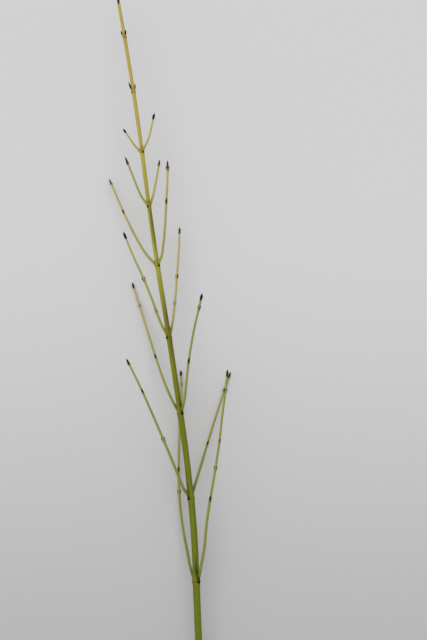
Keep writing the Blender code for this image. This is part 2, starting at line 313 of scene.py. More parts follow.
@dataclass(frozen=True)
class Course:
    """The middle line of a rod and the girth of its plain bark along it.

    Attributes:
        points: Points of the line.
        girth_places: How far along the line the girth is known.
        girths: The girth at those places.
        origin: How far along the line the CAD solid's own line starts.
        leaves: How far along it the rod comes out of the rod that bears it.
    """

    points: Array
    girth_places: Array
    girths: Array
    origin: float = 0.0
    leaves: float = 0.0

    @cached_property
    def places(self) -> Array:
        """How far along the line each of its points is."""
        return walked(self.points)

    @property
    def length(self) -> float:
        """Length of the line."""
        return float(self.places[-1])

    def at(self, distance: Array) -> Array:
        """Points of the line at some distances."""
        return smooth_through(self.places, self.points, np.asarray(distance, float))

    def heading(self, distance: Array) -> Array:
        """Unit vectors along the line, from the points a stride before and after."""
        distance = np.asarray(distance, float)
        return unit(self.at(distance + STRIDE) - self.at(distance - STRIDE))

    def girth(self, distance: Array) -> Array:
        """Radius of the plain bark at some distances."""
        return np.interp(distance, self.girth_places, self.girths)

    def turn_of(self, distance: float, direction: Array) -> float:
        """The angle round the line, 0 level on the right and a quarter turn upward."""
        level, upward = sides_of(self.heading(distance))
        return float(np.arctan2(direction @ upward, direction @ level))

    def outward(self, distance: float, turn: float) -> Array:
        """The direction square to the line at an angle round it."""
        level, upward = sides_of(self.heading(distance))
        return level * cos(turn) + upward * sin(turn)


@dataclass(frozen=True)
class Slicing:
    """Where a rod's solid is cut to find its middle line and girth.

    Attributes:
        sides: Number of flat sides of the rod.
        step: Spacing of the cuts.
        below: How far below a pair of buds the cuts stop.
        above: How far above it they start again.
        end_gap: How far before the rod's tip the last cut may be.
        end_depth: Depth of the far end whose middle is the tip.
    """

    sides: int
    step: float
    below: float
    above: float
    end_gap: float
    end_depth: float

    def heights(self, low: float, high: float, buds: Array) -> Array:
        """Heights of the cuts, clear of the buds.

        Args:
            low: Height of the first cut.
            high: Height of the tip.
            buds: Heights of the pairs of buds.

        Returns:
            Increasing heights.
        """
        heights = np.arange(low, high - self.end_gap, self.step)
        gap = heights[:, None] - buds
        return heights[np.all((gap < -self.below) | (gap > self.above), axis=1)]

    def radii(self, places: Array, areas: Array, run: Array) -> Array:
        """Radius of the round rod that the faceted one stands for, from cuts that may slant.

        The area square to the rod is the cut's area times the cosine of the slant, and a
        polygon of n sides and radius r has an area of n/2 times r squared times the sine of a
        full turn over n.

        Args:
            places: Middles of the cuts.
            areas: Their areas.
            run: Unit vector square to the cuts.

        Returns:
            One radius for each cut.
        """
        slant = unit(np.gradient(places, axis=0)) @ run
        return np.sqrt(areas * slant / (self.sides / 2 * sin(2 * pi / self.sides)))


# ---- Surfaces -----------------------------------------------------------------------------


def placed(name: str, data: bpy.types.ID) -> bpy.types.Object:
    """Puts a mesh, lamp or camera into the scene, at the origin and unturned.

    Args:
        name: The object's name.
        data: What it shows.

    Returns:
        The object.
    """
    obj = bpy.data.objects.new(name, data)
    bpy.context.scene.collection.objects.link(obj)
    return obj


@dataclass(frozen=True)
class Patch:
    """Closed surfaces, in millimetres.

    Attributes:
        points: Their points.
        quads: Four points for each face with four sides, by number.
        triangles: Three for each face with three.
        fields: What varies over them, a value for each point.
    """

    points: Array
    quads: Array
    triangles: Array
    fields: dict[str, Array]

    @classmethod
    def from_grid(cls, grid: Array, fields: dict[str, Array | float]) -> "Patch":
        """Closes a grid of rings into a tube with a pole at either end.

        Neighbouring rings are joined by quads all the way round, and the first and last ring
        by triangles to their own middle, so that every face looks outward.

        Args:
            grid: Points as rings, columns and three numbers.
            fields: Values as rings, columns and maybe three numbers, or one value for all.

        Returns:
            The closed surface.
        """
        rings, columns = grid.shape[:2]
        index = np.arange(rings * columns).reshape(rings, columns)
        after = np.roll(index, -1, axis=1)
        quads = np.stack((index[:-1], index[1:], after[1:], after[:-1]), axis=-1)
        low, high = np.full(columns, rings * columns), np.full(columns, rings * columns + 1)
        bottom = np.column_stack((low, index[0], after[0]))
        top = np.column_stack((high, after[-1], index[-1]))

        def listed(values: Array) -> Array:
            """The grid's values in one list, with the two poles' behind."""
            body = values.reshape(rings * columns, *values.shape[2:])
            return np.concatenate((body, values[:1].mean(axis=1), values[-1:].mean(axis=1)))

        spread = {}
        for name, values in fields.items():
            shape = grid.shape[: max(2, np.ndim(values))]
            spread[name] = listed(np.broadcast_to(values, shape))
        return cls(listed(grid), quads.reshape(-1, 4), np.vstack((bottom, top)), spread)

    @classmethod
    def together(cls, patches: list["Patch"]) -> "Patch":
        """Several surfaces as one, side by side in one mesh.

        Args:
            patches: The surfaces, which all have the same fields.

        Returns:
            The one surface.
        """
        starts = np.cumsum([0] + [len(patch.points) for patch in patches[:-1]])
        names = patches[0].fields
        return cls(
            np.vstack([patch.points for patch in patches]),
            np.vstack([patch.quads + start for patch, start in zip(patches, starts)]),
            np.vstack([patch.triangles + start for patch, start in zip(patches, starts)]),
            {name: np.concatenate([patch.fields[name] for patch in patches]) for name in names},
        )

    def piece(self, name: str, material: bpy.types.Material, node: str, slot: Slot) -> None:
        """Makes the mesh, dresses it and lets it stand for a CAD node.

        The piece rides on the stem's only body.

        Args:
            name: The piece's name.
            material: Its finish.
            node: The CAD node that it stands for, on its own or with others.
            slot: The record's slot of that finish. Not used.
        """
        mesh = bpy.data.meshes.new(name)
        mesh.vertices.add(len(self.points))
        mesh.vertices.foreach_set("co", (self.points * MM).astype(np.float32).ravel())
        order = np.concatenate((self.quads.ravel(), self.triangles.ravel()))
        mesh.loops.add(len(order))
        mesh.loops.foreach_set("vertex_index", order.astype(np.int32))
        quads, triangles = len(self.quads), len(self.triangles)
        starts = np.concatenate((np.arange(quads) * 4, quads * 4 + np.arange(triangles) * 3))
        mesh.polygons.add(len(starts))
        mesh.polygons.foreach_set("loop_start", starts.astype(np.int32))
        mesh.update(calc_edges=True)
        mesh.shade_smooth()
        for label, values in self.fields.items():
            kind, key = ("FLOAT_VECTOR", "vector") if values.ndim == 2 else ("FLOAT", "value")
            attribute = mesh.attributes.new(label, kind, "POINT")
            attribute.data.foreach_set(key, values.astype(np.float32).ravel())
        mesh.materials.append(material)
        obj = placed(name, mesh)
        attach(obj, BODY)
        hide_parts(node)
        log.info("%s: %d faces for %s", name, len(starts), node)


def straightened(distance: Array, angle: Array, radius: Array, start: float) -> Array:
    """Where a surface's points would be if its line were straight, for patterns to follow.

    Args:
        distance: Distance of each point along the line.
        angle: Angle of each column.
        radius: Radius at each point.
        start: Where the rod begins in the pattern, so that no two rods are alike.

    Returns:
        Radius times cosine, radius times sine, and distance, for each point.
    """
    across = (radius * np.cos(angle), radius * np.sin(angle))
    return np.stack((*across, distance + start), axis=-1)


@dataclass(frozen=True)
class Sweep:
    """Rings of points round a rod's line, as rings and columns.

    Attributes:
        course: The line.
        distance: Distance of each point along it.
        angle: Angle of each column round it.
    """

    course: Course
    distance: Array
    angle: Array

    @cached_property
    def girth(self) -> Array:
        """Radius of the plain bark at each point."""
        return self.course.girth(self.distance)

    def ahead(self, place: float) -> Array:
        """How far each point is beyond a place on the line, as a share of the girth."""
        return (self.distance - place) / self.girth

    def points(self, radius: Array) -> Array:
        """Points of a round surface carried along the line.

        A point is the line's point, plus the radius times the cosine of the angle levelly,
        plus the radius times its sine upward, square to the line.

        Args:
            radius: Radius at each point.

        Returns:
            The points, as rings, columns and three numbers.
        """
        level, upward = sides_of(self.course.heading(self.distance))
        return self.course.at(self.distance) + radius[..., None] * (
            np.cos(self.angle)[:, None] * level + np.sin(self.angle)[:, None] * upward
        )


@dataclass(frozen=True)
class LeafPair:
    """Where two opposite leaves grew on a rod.

    Attributes:
        distance: How far along the rod they grew.
        turns: Their angles round it.
        size: Size of their scars and buds beside the usual.
    """

    distance: float
    turns: tuple[float, float]
    size: float = 1.0


@dataclass(frozen=True)
class ScarLine:
    """Smooth fields that place the leaf scars, with lengths as shares of the rod's radius.

    Attributes:
        above: How far each point is above the middle of the nearest scar line.
        width: Half thickness of that line there.
        strength: Its darkness there.
    """

    above: Array
    width: Array
    strength: Array

    def nearer(self, other: "ScarLine") -> "ScarLine":
        """Whichever of two lines is nearer to each point.

        Args:
            other: The other line.

        Returns:
            The fields of the nearer one.
        """
        closer = np.abs(other.above) < np.abs(self.above)
        return ScarLine(
            np.where(closer, other.above, self.above),
            np.where(closer, other.width, self.width),
            np.where(closer, other.strength, self.strength),
        )

    @property
    def fields(self) -> dict[str, Array]:
        """The fields by the names that the bark's finish reads.

        Returns:
            The three fields.
        """
        return {
            "scar_above": np.clip(self.above, -3, 3),
            "scar_width": self.width,
            "scar_strength": self.strength,
        }


@dataclass(frozen=True)
class NodeShape:
    """How a rod thickens at a pair of leaves, and the scars that the leaves left.

    All lengths are shares of the rod's plain radius.

    Attributes:
        swelling: How much the node adds to the radius.
        swelling_reach: Half length of that swelling.
        widening: Share of the swelling that lies in the plane of the pair alone.
        cushion: Height of the ledge on which a leaf stood.
        cushion_below: Reach of the ledge towards the root.
        cushion_above: Reach of the ledge towards the tip.
        drop: How far below the node the middle of a scar is.
        lift: How much higher the scars' ends are.
        thick: Half thickness of a scar in its middle.
        thin: Half thickness of the line that joins the two scars.
        width: Reach of a scar to either side of its middle.
        line_strength: Darkness of the joining line, as a share of the scar's.
        collar: Height of the shoulder that a twig's foot stands in, if there is one.
        collar_place: How far above the node the middle of the shoulder is.
        collar_reach: Reach of the shoulder along the rod.
        collar_width: Reach of the shoulder round the rod.
        ledge_spread: Reach of the ledge round the rod, as a share of the scar's.
        shade_spread: Reach of the scar's darkness round the rod, as a share of its own.
        fade: How far along the rod the scar's darkness reaches.
    """

    swelling: float
    swelling_reach: float
    widening: float
    cushion: float
    cushion_below: float
    cushion_above: float
    drop: float
    lift: float
    thick: float
    thin: float
    width: float
    line_strength: float
    collar: float = 0.0
    collar_place: float = 0.7
    collar_reach: float = 1.1
    collar_width: float = 0.6
    ledge_spread: float = 1.3
    shade_spread: float = 1.4
    fade: float = 2.5

    def swell(self, sweep: Sweep, pair: LeafPair) -> Array:
        """Factor on the radius: 1 plus a hill, higher in the plane of the pair.

        Args:
            sweep: The rod's rings.
            pair: The pair of leaves.

        Returns:
            The factor at each point.
        """
        plane = np.cos(sweep.angle - pair.turns[0]) ** 2
        shape = 1 - self.widening + 2 * self.widening * plane
        return 1 + self.swelling * shape * hill(sweep.ahead(pair.distance), self.swelling_reach)

    def relief(self, sweep: Sweep, pair: LeafPair) -> tuple[Array, ScarLine]:
        """Height of the leaf ledges and shoulders, and the line of the scars.

        Measured along the bark from the nearer scar's middle, the line rises with the square
        of the way round, up to the scar's ends. Its half thickness falls on a hill from thick
        to thin, and its darkness falls round the rod and to nothing far from the node. The
        ledge is a hill round that line, long towards the root and short towards the tip, and
        the shoulder is a hill above the node.

        Args:
            sweep: The rod's rings.
            pair: The pair of leaves.

        Returns:
            The height in millimetres and the scars.
        """
        ahead = sweep.ahead(pair.distance)
        first, second = (wrapped(sweep.angle - turn) for turn in pair.turns)
        around = np.where(np.abs(first) < np.abs(second), first, second) + 0 * ahead
        above = ahead - self.lift * np.minimum((around / (pi / 2)) ** 2, 1) + self.drop
        reach = np.where(above > 0, self.cushion_above, self.cushion_below)
        ledge = self.cushion * hill(above, reach) * hill(around, self.ledge_spread * self.width)
        shoulder = self.collar * hill(ahead - self.collar_place, self.collar_reach)
        shoulder = shoulder * hill(around, self.collar_width)
        thickness = self.thin + (self.thick - self.thin) * hill(around, self.width)
        shade = hill(around, self.shade_spread * self.width)
        strength = (self.line_strength + (1 - self.line_strength) * shade) * hill(above, self.fade)
        scar = ScarLine(above, pair.size * thickness, strength)
        return sweep.girth * np.maximum(ledge, shoulder), scar

    def shaped(
        self, sweep: Sweep, radius: Array, pairs: list[LeafPair]
    ) -> tuple[Array, dict[str, Array]]:
        """A rod's radius with all its swellings, ledges and shoulders, and its scars.

        Args:
            sweep: The rod's rings.
            radius: Its radius without them.
            pairs: Where its leaves grew.

        Returns:
            The radius, and the fields that place the scars.
        """
        scars = []
        for pair in pairs:
            radius = radius * self.swell(sweep, pair)
        for pair in pairs:
            height, scar = self.relief(sweep, pair)
            radius = radius + height
            scars.append(scar)
        return radius, reduce(ScarLine.nearer, scars).fields


@dataclass(frozen=True)
class BarkLayout:
    """How a rod's bark is laid out along its line.

    Attributes:
        columns: Points in a ring.
        spacing: How closely the rings follow each other.
        ring_shift: How far below a node they are closest.
        overlap: How far the bark runs on inside the bud that ends the rod.
        loss: Share of the radius that it loses there.
        loss_length: Length over which it loses it.
        blush_and_shade_turn: The angle at which its darkened side, partly the bark's own colour and
            partly painted shade, is darkest.
        blush_and_shade_edge: How sharply that side gives way to the other.
        nodes: Shape of its nodes.
    """

    columns: int
    spacing: Spacing
    ring_shift: float
    overlap: float
    loss: float
    loss_length: float
    blush_and_shade_turn: float
    blush_and_shade_edge: float
    nodes: NodeShape

    @property
    def angle(self) -> Array:
        """Angle of each column."""
        return all_round(self.columns)

    def rings(self, end: float, pairs: list[LeafPair], others: list[float]) -> Array:
        """Distances of the rings, closest just below the nodes and at some other places."""
        below = [pair.distance - self.ring_shift for pair in pairs]
        return self.spacing.rings(end, np.array(below + others))

    def narrowed(self, distance: Array, end: float) -> Array:
        """Factor on the radius: 1, less the loss that eases in before the end."""
        return 1 - self.loss * eased((distance - end + self.loss_length) / self.loss_length)

    def darkened(self) -> Array:
        """Share of each column that belongs to the darkened side."""
        # The darkened side is partly the bark's own colour and partly painted shade.
        return eased(0.5 + self.blush_and_shade_edge * np.cos(self.angle - self.blush_and_shade_turn))


@dataclass(frozen=True)
class BudShape:
    """A pointed bud of two scales that meet edge to edge.

    Attributes:
        outline: Share of the length, share of the width.
        flatness: Thickness as a share of the width.
        seam: Depth of the groove where the scales meet, as a share of the radius.
        rings: Number of rings.
        columns: Number of points in a ring.
        browning: Power of the share of the length that its colour follows, so that a higher
            one draws the brown of the foot farther up.
        crowding: Power that crowds the rings towards the tip.
        groove: Half width of the seam, as the sine of an angle round the bud.
        groove_start: Share of the length over which the seam deepens.
        sunk: How deep a side bud's foot is in the bark, as a share of its width.
        bend: How far a side bud bows outward, as a share of its length.
    """

    outline: tuple[tuple[float, float], ...]
    flatness: float
    seam: float
    rings: int
    columns: int
    browning: float = 1.0
    crowding: float = 1.15
    groove: float = 0.20
    groove_start: float = 0.15
    sunk: float = 0.15
    bend: float = 0.10

    def patch(
        self, points: Array, reference: Array, width: float, seam_turn: float, start: float
    ) -> Patch:
        """The bud's surface, carried along the line of its points.

        The radius is the width times the outline at that share of the length, less a narrow
        groove on either side where the scales meet. Square to the level direction the bud is
        flattened.

        Args:
            points: Points from the bud's foot to its tip, one a row.
            reference: The direction that its upper side should face.
            width: Radius at an outline of 1.
            seam_turn: Angle of one groove round the bud.
            start: Where the bud begins in the pattern.

        Returns:
            The closed bud.
        """
        shares, widths = np.array(self.outline).T
        share = 1 - (1 - np.linspace(0, 1, self.rings)) ** self.crowding
        places = walked(points)
        line = smooth_through(places, points, share * places[-1])
        level, upward = sides_of(unit(np.gradient(line, axis=0)), reference)
        angle = all_round(self.columns)
        profile = np.maximum(smooth_through(shares, widths, share), 0.01)[:, None]
        groove = hill(np.sin(angle - seam_turn), self.groove)
        groove = groove * eased(share / self.groove_start)[:, None]
        radius = width * profile * (1 - self.seam * groove)
        grid = line[:, None] + radius[..., None] * (
            np.cos(angle)[:, None] * level[:, None]
            + self.flatness * np.sin(angle)[:, None] * upward[:, None]
        )
        distance = np.broadcast_to((share * places[-1])[:, None], radius.shape)
        fields = {
            "straightened": straightened(distance, angle, radius, start),
            "bud_share": share[:, None] ** self.browning,
            "seam": groove,
        }
        return Patch.from_grid(grid, fields)

    def on_bark(
        self,
        course: Course,
        distance: float,
        turn: float,
        length: float,
        width: float,
        lean: float,
        raised: float,
        start: float,
    ) -> Patch:
        """A side bud pressed against a rod, its foot sunk in the bark and its tip leaning out.

        Args:
            course: The rod's line.
            distance: Where the bud stands along it.
            turn: Its angle round the rod.
            length: Its length.
            width: Its widest radius.
            lean: Angle between the bud and the rod.
            raised: How far its foot is above the rod's plain bark.
            start: Where the bud begins in the pattern.

        Returns:
            The closed bud.
        """
        along = course.heading(distance)
        outward = course.outward(distance, turn)
        height = course.girth(distance) + raised - self.sunk * width
        foot = course.at(distance) + outward * height
        share = np.linspace(0, 1, 7)[:, None]
        bend = self.bend * length * share * (1 - share)
        line = foot + share * length * (along * cos(lean) + outward * sin(lean)) + bend * outward
        return self.patch(line, outward, width, pi / 2, start)


# The bud that ends a twig, the one that ends the stem, and the small ones on the bark.
CLOSING_BUD = BudShape(
    outline=(
        (0.0, 0.74),
        (0.05, 1.00),
        (0.12, 1.12),
        (0.20, 1.02),
        (0.28, 0.98),
        (0.42, 1.08),
        (0.56, 0.98),
        (0.72, 0.68),
        (0.86, 0.36),
        (0.95, 0.17),
        (1.0, 0.05),
    ),
    flatness=0.94,
    seam=0.12,
    rings=34,
    columns=28,
)
LEADING_BUD = replace(CLOSING_BUD, browning=2.2)
SIDE_BUD = BudShape(
    outline=(
        (0.0, 0.62),
        (0.10, 0.86),
        (0.30, 1.04),
        (0.50, 0.98),
        (0.70, 0.70),
        (0.88, 0.32),
        (1.0, 0.06),
    ),
    flatness=0.80,
    seam=0.14,
    rings=18,
    columns=18,
)


# ---- Shader maths -------------------------------------------------------------------------


def shown(red: int, green: int, blue: int) -> Colour:
    """Linear light of a colour given as a screen shows it.

    Args:
        red: Red from 0 to 255.
        green: Green from 0 to 255.
        blue: Blue from 0 to 255.

    Returns:
        Red, green, blue and an alpha of 1.
    """
    share = np.array((red, green, blue)) / 255
    linear = np.where(share <= 0.04045, share / 12.92, ((share + 0.055) / 1.055) ** 2.4)
    return (float(linear[0]), float(linear[1]), float(linear[2]), 1.0)


def ramped(*stops: tuple[float, int, int, int]) -> Ramp:
    """The stops of a ramp, from positions with a colour given as a screen shows it."""
    return tuple((position, shown(*colour)) for position, *colour in stops)


@dataclass(frozen=True)
class Overlay:
    """A colour laid over others where a pattern is high.

    Attributes:
        colour: The colour.
        low: The pattern's value where it starts to show.
        high: The value where it shows most.
        share: How much of it shows there.
    """

    colour: Colour
    low: float
    high: float
    share: float


class Term:
    """A number that a socket gives, on which Python's operators add Math nodes."""

    def __init__(self, graph: "Graph", socket: bpy.types.NodeSocket) -> None:
        """Holds the socket and the graph that it belongs to."""
        self.graph = graph
        self.socket = socket

    def __add__(self, other: "Term | float") -> "Term":
        """Self plus other."""
        return self.graph.maths("ADD", self, other)

    def __sub__(self, other: "Term | float") -> "Term":
        """Self less other."""
        return self.graph.maths("SUBTRACT", self, other)

    def __mul__(self, other: "Term | float") -> "Term":
        """Self times other."""
        return self.graph.maths("MULTIPLY", self, other)

    def __truediv__(self, other: "Term | float") -> "Term":
        """Self over other."""
        return self.graph.maths("DIVIDE", self, other)

    def __rsub__(self, other: float) -> "Term":
        """Other less self."""
        return self.graph.maths("SUBTRACT", other, self)

    def __rtruediv__(self, other: float) -> "Term":
        """Other over self."""
        return self.graph.maths("DIVIDE", other, self)

    __radd__ = __add__
    __rmul__ = __mul__

    def __abs__(self) -> "Term":
        """Self without its sign."""
        return self.graph.maths("ABSOLUTE", self, 0.0)

    def sway(self, amount: float) -> "Term":
        """Noise from 0 to 1 moved to lie round 0, times an amount."""
        return (self - 0.5) * amount


class Graph:
    """The nodes of one material, from its textures to its shader."""

    def __init__(self, name: str) -> None:
        """Starts a material with nothing but its output.

        Args:
            name: The material's name.
        """
        self.material = bpy.data.materials.new(name)
        self.material.use_nodes = True
        self.tree = self.material.node_tree
        self.tree.nodes.remove(self.tree.nodes["Principled BSDF"])

    def add(
        self,
        kind: str,
        settings: dict[str, object] | None = None,
        inputs: dict[str | int, object] | None = None,
        output: str | int = 0,
    ) -> Term:
        """Adds a node of any type.

        Args:
            kind: The node's type.
            settings: Its own settings, which are set first. The stops of a ramp are pairs of
                a position and a colour.
            inputs: Values or terms for its sockets, by name or number.
            output: Which of its outputs to give back.

        Returns:
            That output.
        """
        node = self.tree.nodes.new(kind)
        for name, value in (settings or {}).items():
            if name == "stops":
                self.set_stops(node.color_ramp, value)
            else:
                setattr(node, name, value)
        for name, value in (inputs or {}).items():
            if isinstance(value, Term):
                self.tree.links.new(value.socket, node.inputs[name])
            else:
                node.inputs[name].default_value = value
        return Term(self, node.outputs[output])

    @staticmethod
    def set_stops(ramp: bpy.types.ColorRamp, stops: Ramp) -> None:
        """Gives a ramp its stops.

        Args:
            ramp: The ramp, with the two stops that it starts with.
            stops: Positions and colours, from low to high.
        """
        while len(ramp.elements) < len(stops):
            ramp.elements.new(1.0)
        for element, (position, colour) in zip(ramp.elements, stops):
            element.position = position
            element.color = colour

    def maths(self, operation: str, first: Term | float, second: Term | float) -> Term:
        """One Math node on two numbers."""
        return self.add("ShaderNodeMath", {"operation": operation}, {0: first, 1: second})

    def field(self, name: str, output: str = "Fac") -> Term:
        """A field that the piece's own mesh carries."""
        return self.add("ShaderNodeAttribute", {"attribute_name": name}, None, output)

    def stretched(self, place: Term, scale: Point) -> Term:
        """A place with each of its directions scaled, in vector maths."""
        return self.add("ShaderNodeVectorMath", {"operation": "MULTIPLY"}, {0: place, 1: scale})

    def noise(self, place: Term, scale: Point, detail: float = 3.0) -> Term:
        """Soft noise from 0 to 1 with so many waves a millimetre in each direction."""
        inputs = {"Vector": self.stretched(place, scale), "Scale": 1.0, "Detail": detail}
        return self.add("ShaderNodeTexNoise", {"normalize": True}, inputs)

    def between(self, value: Term, low: float, high: float) -> Term:
        """0 below low, 1 above high and eased between them."""
        inputs = {"Value": value, "From Min": low, "From Max": high}
        return self.add("ShaderNodeMapRange", {"interpolation_type": "SMOOTHSTEP"}, inputs)

    def ramp(self, value: Term, stops: Ramp) -> Term:
        """A colour from a ramp."""
        return self.add("ShaderNodeValToRGB", {"stops": stops}, {"Fac": value})

    def mix(self, share: Term, first: Term | Colour, second: Term | Colour) -> Term:
        """Two colours, mixed by a share of the second."""
        return self.add("ShaderNodeMix", {"data_type": "RGBA"}, {0: share, 6: first, 7: second}, 2)

    def overlaid(self, base: Term, pattern: Term, layer: Overlay) -> Term:
        """A colour with a layer over it where a pattern is high."""
        share = self.between(pattern, layer.low, layer.high) * layer.share
        return self.mix(share, base, layer.colour)

    def bump(self, height: Term, depth: float) -> Term:
        """The normal of a surface raised by a height from 0 to 1 times a depth in millimetres."""
        return self.add("ShaderNodeBump", None, {"Distance": depth * MM, "Height": height})

    def finish(
        self, colour: Term, roughness: Term | float, gloss: float, normal: Term | None = None
    ) -> bpy.types.Material:
        """Closes the material with one Principled shader.

        Args:
            colour: Its colour.
            roughness: Its roughness.
            gloss: Its specular level, the same all over.
            normal: Its relief, if it has any.

        Returns:
            The material.
        """
        inputs = {"Base Color": colour, "Roughness": roughness, "Specular IOR Level": gloss}
        if normal is not None:
            inputs["Normal"] = normal
        surface = self.add("ShaderNodeBsdfPrincipled", None, inputs)
        self.tree.links.new(surface.socket, self.tree.nodes["Material Output"].inputs["Surface"])
        return self.material


# ---- Finishes -----------------------------------------------------------------------------


@dataclass(frozen=True)
class BarkFinish:
    """Smooth young bark that ripens from olive green to ochre along the shoot.

    Waves are so many a millimetre, twice across the rod and once along it.

    Attributes:
        name: Name of the material.
        ripening: The bark's colour from unripe, 0, to ripe, 1.
        foot: The same for the stem's bark, which runs on over a twig's foot.
        greener: Its greener streaks.
        paler: Its paler fibres.
        grain_darkening: Darker patches where the grain pattern is high.
        blush: The colour of the darkened side, partly the bark's own colour and partly painted
            shade.
        node: The colour that nodes turn to.
        stain: The colour of folds and of the line that runs up from them, by ripeness: painted
            shade of the crease with some brown staining.
        scar: The colour of a leaf scar.
        pore: The colour of a pore.
        pore_share: How much of that colour shows.
        fibre_waves: Waves of the fibres.
        streak_waves: Waves of the long streaks.
        patch_waves: Waves of the broad patches.
        grain_waves: Waves of the grain.
        pore_waves: How many pores there are at the most.
        pick_waves: Waves of the places that have pores.
        relief: Depth of the relief in millimetres.
        gloss: The shader's specular level.
    """

    name: str
    ripening: Ramp
    foot: Ramp
    greener: Overlay = Overlay(shown(84, 100, 28), 0.52, 0.74, 0.36)
    paler: Overlay = Overlay(shown(190, 182, 104), 0.54, 0.76, 0.30)
    grain_darkening: Overlay = Overlay(shown(92, 84, 26), 0.30, 0.75, 0.10)
    blush: Colour = shown(92, 84, 26)
    node: Colour = shown(140, 118, 30)
    stain: Ramp = ramped((0.0, 34, 45, 0), (0.54, 38, 46, 2), (0.62, 62, 50, 14))
    scar: Colour = shown(16, 14, 3)
    pore: Colour = shown(74, 62, 26)
    pore_share: float = 0.62
    fibre_waves: Point = (2.4, 2.4, 0.09)
    streak_waves: Point = (0.8, 0.8, 0.025)
    patch_waves: Point = (0.16, 0.16, 0.03)
    grain_waves: Point = (3.2, 3.2, 1.4)
    pore_waves: Point = (0.62, 0.62, 0.26)
    pick_waves: Point = (0.35, 0.35, 0.12)
    relief: float = 0.18
    gloss: float = 0.11

    def material(self) -> bpy.types.Material:
        """The bark's nodes.

        Long streaks and broad patches shift the ripening colour. A darkened side that is partly
        painted shade, nodes, pores, fold lines of painted shade with brown staining, and scars are
        then laid over it, and fibres, grain, pores and scars shape the relief.

        Returns:
            The material.
        """
        graph = Graph(self.name)
        place = graph.field("straightened", "Vector")
        fibres = graph.noise(place, self.fibre_waves, 4.0)
        streaks = graph.noise(place, self.streak_waves)
        patches = graph.noise(place, self.patch_waves)
        grain = graph.noise(place, self.grain_waves, 2.0)

        ripeness = graph.field("ripeness") + patches.sway(0.16) + streaks.sway(0.10)
        foot = graph.ramp(graph.field("stem_ripeness"), self.foot)
        colour = graph.mix(graph.field("foot"), graph.ramp(ripeness, self.ripening), foot)
        colour = graph.overlaid(colour, streaks, self.greener)
        colour = graph.overlaid(colour, fibres, self.paler)
        # Darkened side: partly the bark's own colour, partly painted shade.
        blush = graph.field("blush") * (0.55 + 0.9 * streaks)
        colour = graph.mix(blush, colour, self.blush)
        tint = graph.field("node_tint") * graph.field("ripeness") * (0.3 + 0.9 * grain)
        colour = graph.mix(tint, colour, self.node)
        colour = graph.overlaid(colour, grain, self.grain_darkening)

        cell = graph.stretched(place, self.pore_waves)
        pores = graph.add("ShaderNodeTexVoronoi", {"feature": "F1"}, {"Vector": cell, "Scale": 1.0})
        pick = graph.between(graph.noise(place, self.pick_waves, 1.0), 0.40, 0.50)
        pore = (1 - graph.between(pores, 0.09, 0.17)) * pick
        colour = graph.mix(pore * self.pore_share, colour, self.pore)

        # Painted shade in the folds by the twigs and up the bark above them, with some brown
        # staining.
        stain = graph.field("stain") * (0.6 + 0.7 * fibres)
        colour = graph.mix(stain, colour, graph.ramp(ripeness, self.stain))
        above = graph.field("scar_above") + grain.sway(0.10)
        inside = 1 - abs(above) / graph.field("scar_width")
        scar = graph.between(inside, 0.0, 0.35) * graph.field("scar_strength")
        colour = graph.mix(scar, colour, self.scar)

        roughness = 0.40 + fibres * 0.14 + scar * 0.30 + stain * 0.10
        height = fibres * 0.40 + grain * 0.25 + pore * 0.35 + (1 - scar) * 0.35
        return graph.finish(colour, roughness, self.gloss, graph.bump(height, self.relief))


@dataclass(frozen=True)
class BudFinish:
    """Dark bud scales under short flattened hairs.

    Attributes:
        name: Name of the material.
        scales: The scales' colour from the foot, 0, to the tip, 1.
        hairs: The colour of the hairs.
        seam: The colour in the groove between the scales.
        hair_waves: Waves a millimetre of the hairs, twice across the bud and once along it.
        patch_waves: The same for the patches in which they are thick or thin.
        relief: Depth of the relief in millimetres.
        gloss: The shader's specular level.
    """

    name: str = "bud_scales"
    scales: Ramp = ramped(
        (0.0, 102, 82, 40),
        (0.10, 69, 54, 24),
        (0.26, 35, 27, 12),
        (0.50, 20, 16, 8),
        (0.85, 24, 17, 9),
        (1.0, 38, 26, 13),
    )
    hairs: Colour = shown(108, 92, 58)
    seam: Colour = shown(14, 11, 6)
    hair_waves: Point = (7.0, 7.0, 0.9)
    patch_waves: Point = (1.1, 1.1, 0.5)
    relief: float = 0.09
    gloss: float = 0.06

    def material(self) -> bpy.types.Material:
        """The buds' nodes: dark scales, a darker seam, and hairs as fine pale streaks.

        Returns:
            The material.
        """
        graph = Graph(self.name)
        place = graph.field("straightened", "Vector")
        hairs = graph.noise(place, self.hair_waves)
        patches = graph.noise(place, self.patch_waves, 2.0)
        share = graph.field("bud_share") + patches.sway(0.14)
        colour = graph.mix(graph.field("seam") * 0.7, graph.ramp(share, self.scales), self.seam)
        hairy = graph.between(hairs, 0.54, 0.78) * (0.04 + 0.20 * patches)
        colour = graph.mix(hairy, colour, self.hairs)
        relief = graph.bump(hairs * 0.6 + patches * 0.4, self.relief)
        return graph.finish(colour, 0.62 + hairs * 0.22, self.gloss, relief)


